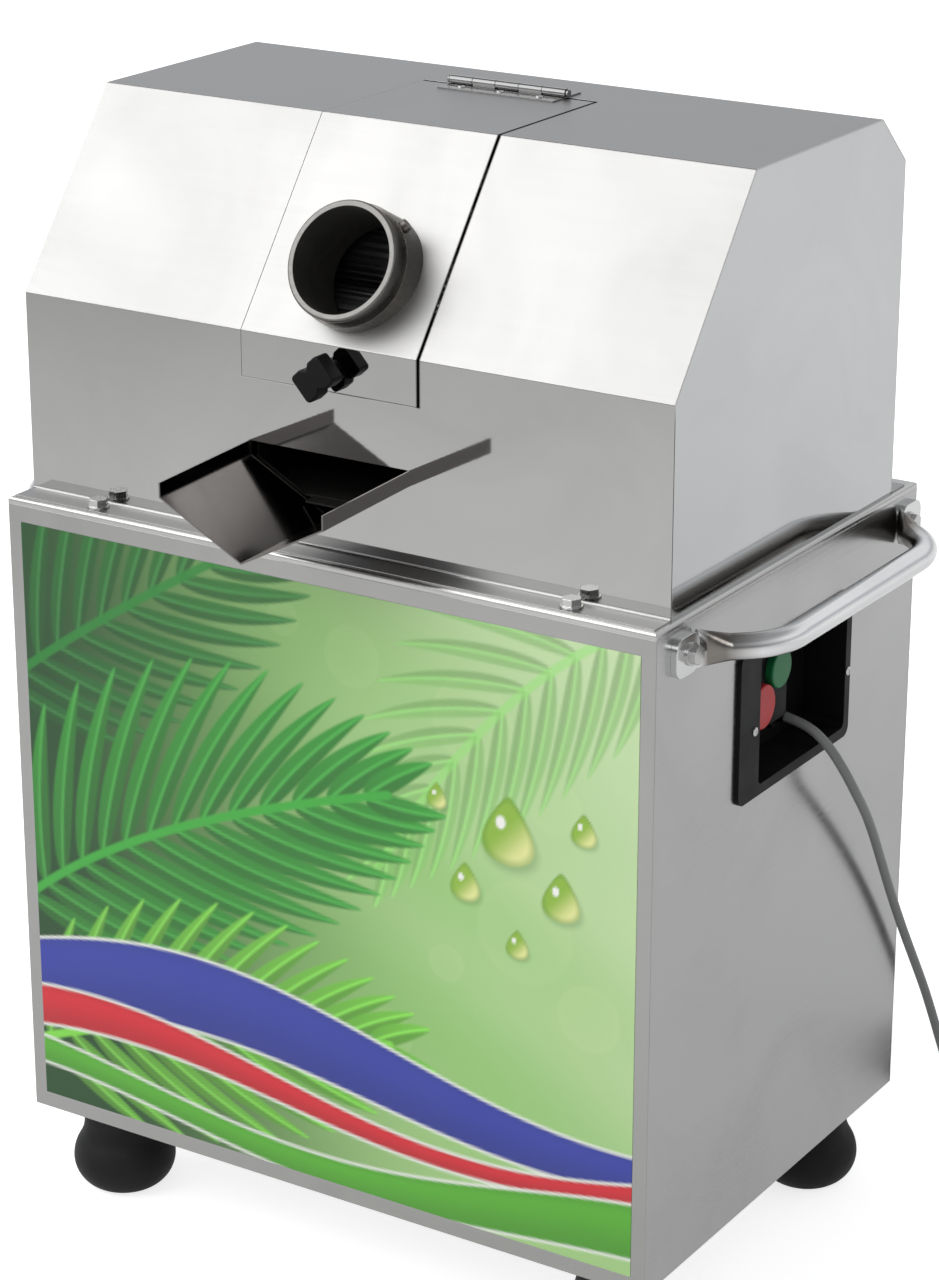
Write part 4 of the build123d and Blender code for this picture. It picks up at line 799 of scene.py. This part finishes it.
# stage: pale floor that shows white to the camera, glows in the metal, more so behind, and keeps the shadow
floorLook = {"half": 14.0, "points": 9, "below": -0.0004, "tone": 0.62, "rough": 0.9, "gloss": 0.1,
             "halo": (0.4, 0.8, 0.75, 1.0), "inMetal": (0.9, 2.6, 0.38, 0.6)}
reach = np.linspace(-floorLook["half"], floorLook["half"], floorLook["points"])
floorX, floorY = np.meshgrid(reach, reach, indexing="xy")
floorMesh = bpy.data.meshes.new("paleFloor")
floorVerts = np.stack((floorX, floorY, np.full_like(floorX, floorLook["below"])), -1).reshape(-1, 3)
floorMesh.from_pydata(floorVerts, [], gridQuads(floorLook["points"], floorLook["points"]))
floorMaterial, tree, shader = newMaterial("paleFloor")
shader.inputs["Base Color"].default_value = (*[floorLook["tone"]] * 3, 1)
shader.inputs["Roughness"].default_value = floorLook["rough"]
shader.inputs["Specular IOR Level"].default_value = floorLook["gloss"]
shader.inputs["Emission Color"].default_value = (1, 1, 1, 1)
place = coordinate(tree)
halo = mapRange(tree, vectored(tree, "LENGTH", place), *floorLook["halo"])
mirrored = mapRange(tree, axes(tree, place)["Y"], *floorLook["inMetal"])
rays = addNode(tree, "ShaderNodeLightPath").outputs
seen = joined(tree, "MAXIMUM", rays["Is Camera Ray"], rays["Is Transmission Ray"])
glow = joined(tree, "MULTIPLY_ADD", rays["Is Glossy Ray"], mirrored, joined(tree, "MULTIPLY", seen, halo))
wire(tree, glow, shader.inputs["Emission Strength"])
floorMesh.materials.append(floorMaterial)
paleFloor = bpy.data.objects.new("paleFloor", floorMesh)
scene.collection.objects.link(paleFloor)

# room: white to the camera; for light, a bright band above the horizon, darker overhead and by the camera
roomLook = {"tones": [(0.0, (0.9, 0.9, 0.9)), (0.1, (0.8, 0.81, 0.83)), (0.17, (0.53, 0.545, 0.585)),
                      (0.25, (0.53, 0.545, 0.585)), (0.36, (0.94, 0.95, 0.96)), (0.58, (0.92, 0.93, 0.95)),
                      (0.78, (0.42, 0.42, 0.43)), (1.0, (0.28, 0.28, 0.28))],
            "toLight": (-0.6, 0.8, 0), "side": (-0.85, -0.2, 0.45, 1)}
room = bpy.data.worlds.new("studioRoom")
room.use_nodes = True
tree = room.node_tree
light = tree.nodes["Background"]
heading = coordinate(tree, "Generated")
ramp = addNode(tree, "ShaderNodeValToRGB")
while len(ramp.color_ramp.elements) < len(roomLook["tones"]):
    ramp.color_ramp.elements.new(0.5)
for element, (level, tone) in zip(ramp.color_ramp.elements, roomLook["tones"]):
    element.position = level
    element.color = (*tone, 1)
wire(tree, axes(tree, heading)["Z"], ramp.inputs[0])
wire(tree, ramp.outputs[0], light.inputs["Color"])
side = vectored(tree, "DOT_PRODUCT", heading, roomLook["toLight"])
wire(tree, mapRange(tree, side, *roomLook["side"]), light.inputs["Strength"])
backdrop = addNode(tree, "ShaderNodeBackground", Color=(1, 1, 1, 1))
seen = addNode(tree, "ShaderNodeMixShader")
wire(tree, addNode(tree, "ShaderNodeLightPath").outputs["Is Camera Ray"], seen.inputs[0])
wire(tree, light.outputs[0], seen.inputs[1])
wire(tree, backdrop.outputs[0], seen.inputs[2])
wire(tree, seen.outputs[0], tree.nodes["World Output"].inputs["Surface"])
scene.world = room

# softboxes: a large one that the slanted face mirrors, and a fill beside the camera
softboxes = {
    "slantSoftbox": {"at": (-1.1, -1.29, 2.27), "to": (0, -0.11, 0.8), "size": (2.4, 2.2), "watts": 45.5},
    "fillSoftbox": {"at": (1.5, -2.9, 2.3), "to": (0, 0, 0.4), "size": (1.4, 1.4), "watts": 15.2},
}
for name, look in softboxes.items():
    lamp = bpy.data.lights.new(name, "AREA")
    lamp.shape = "RECTANGLE"
    lamp.size, lamp.size_y = look["size"]
    lamp.energy = look["watts"]
    box = bpy.data.objects.new(name, lamp)
    box.location = look["at"]
    box.rotation_euler = (Vector(look["to"]) - Vector(look["at"])).to_track_quat("-Z", "Y").to_euler()
    box.visible_camera = False
    scene.collection.objects.link(box)
print("stage lit")
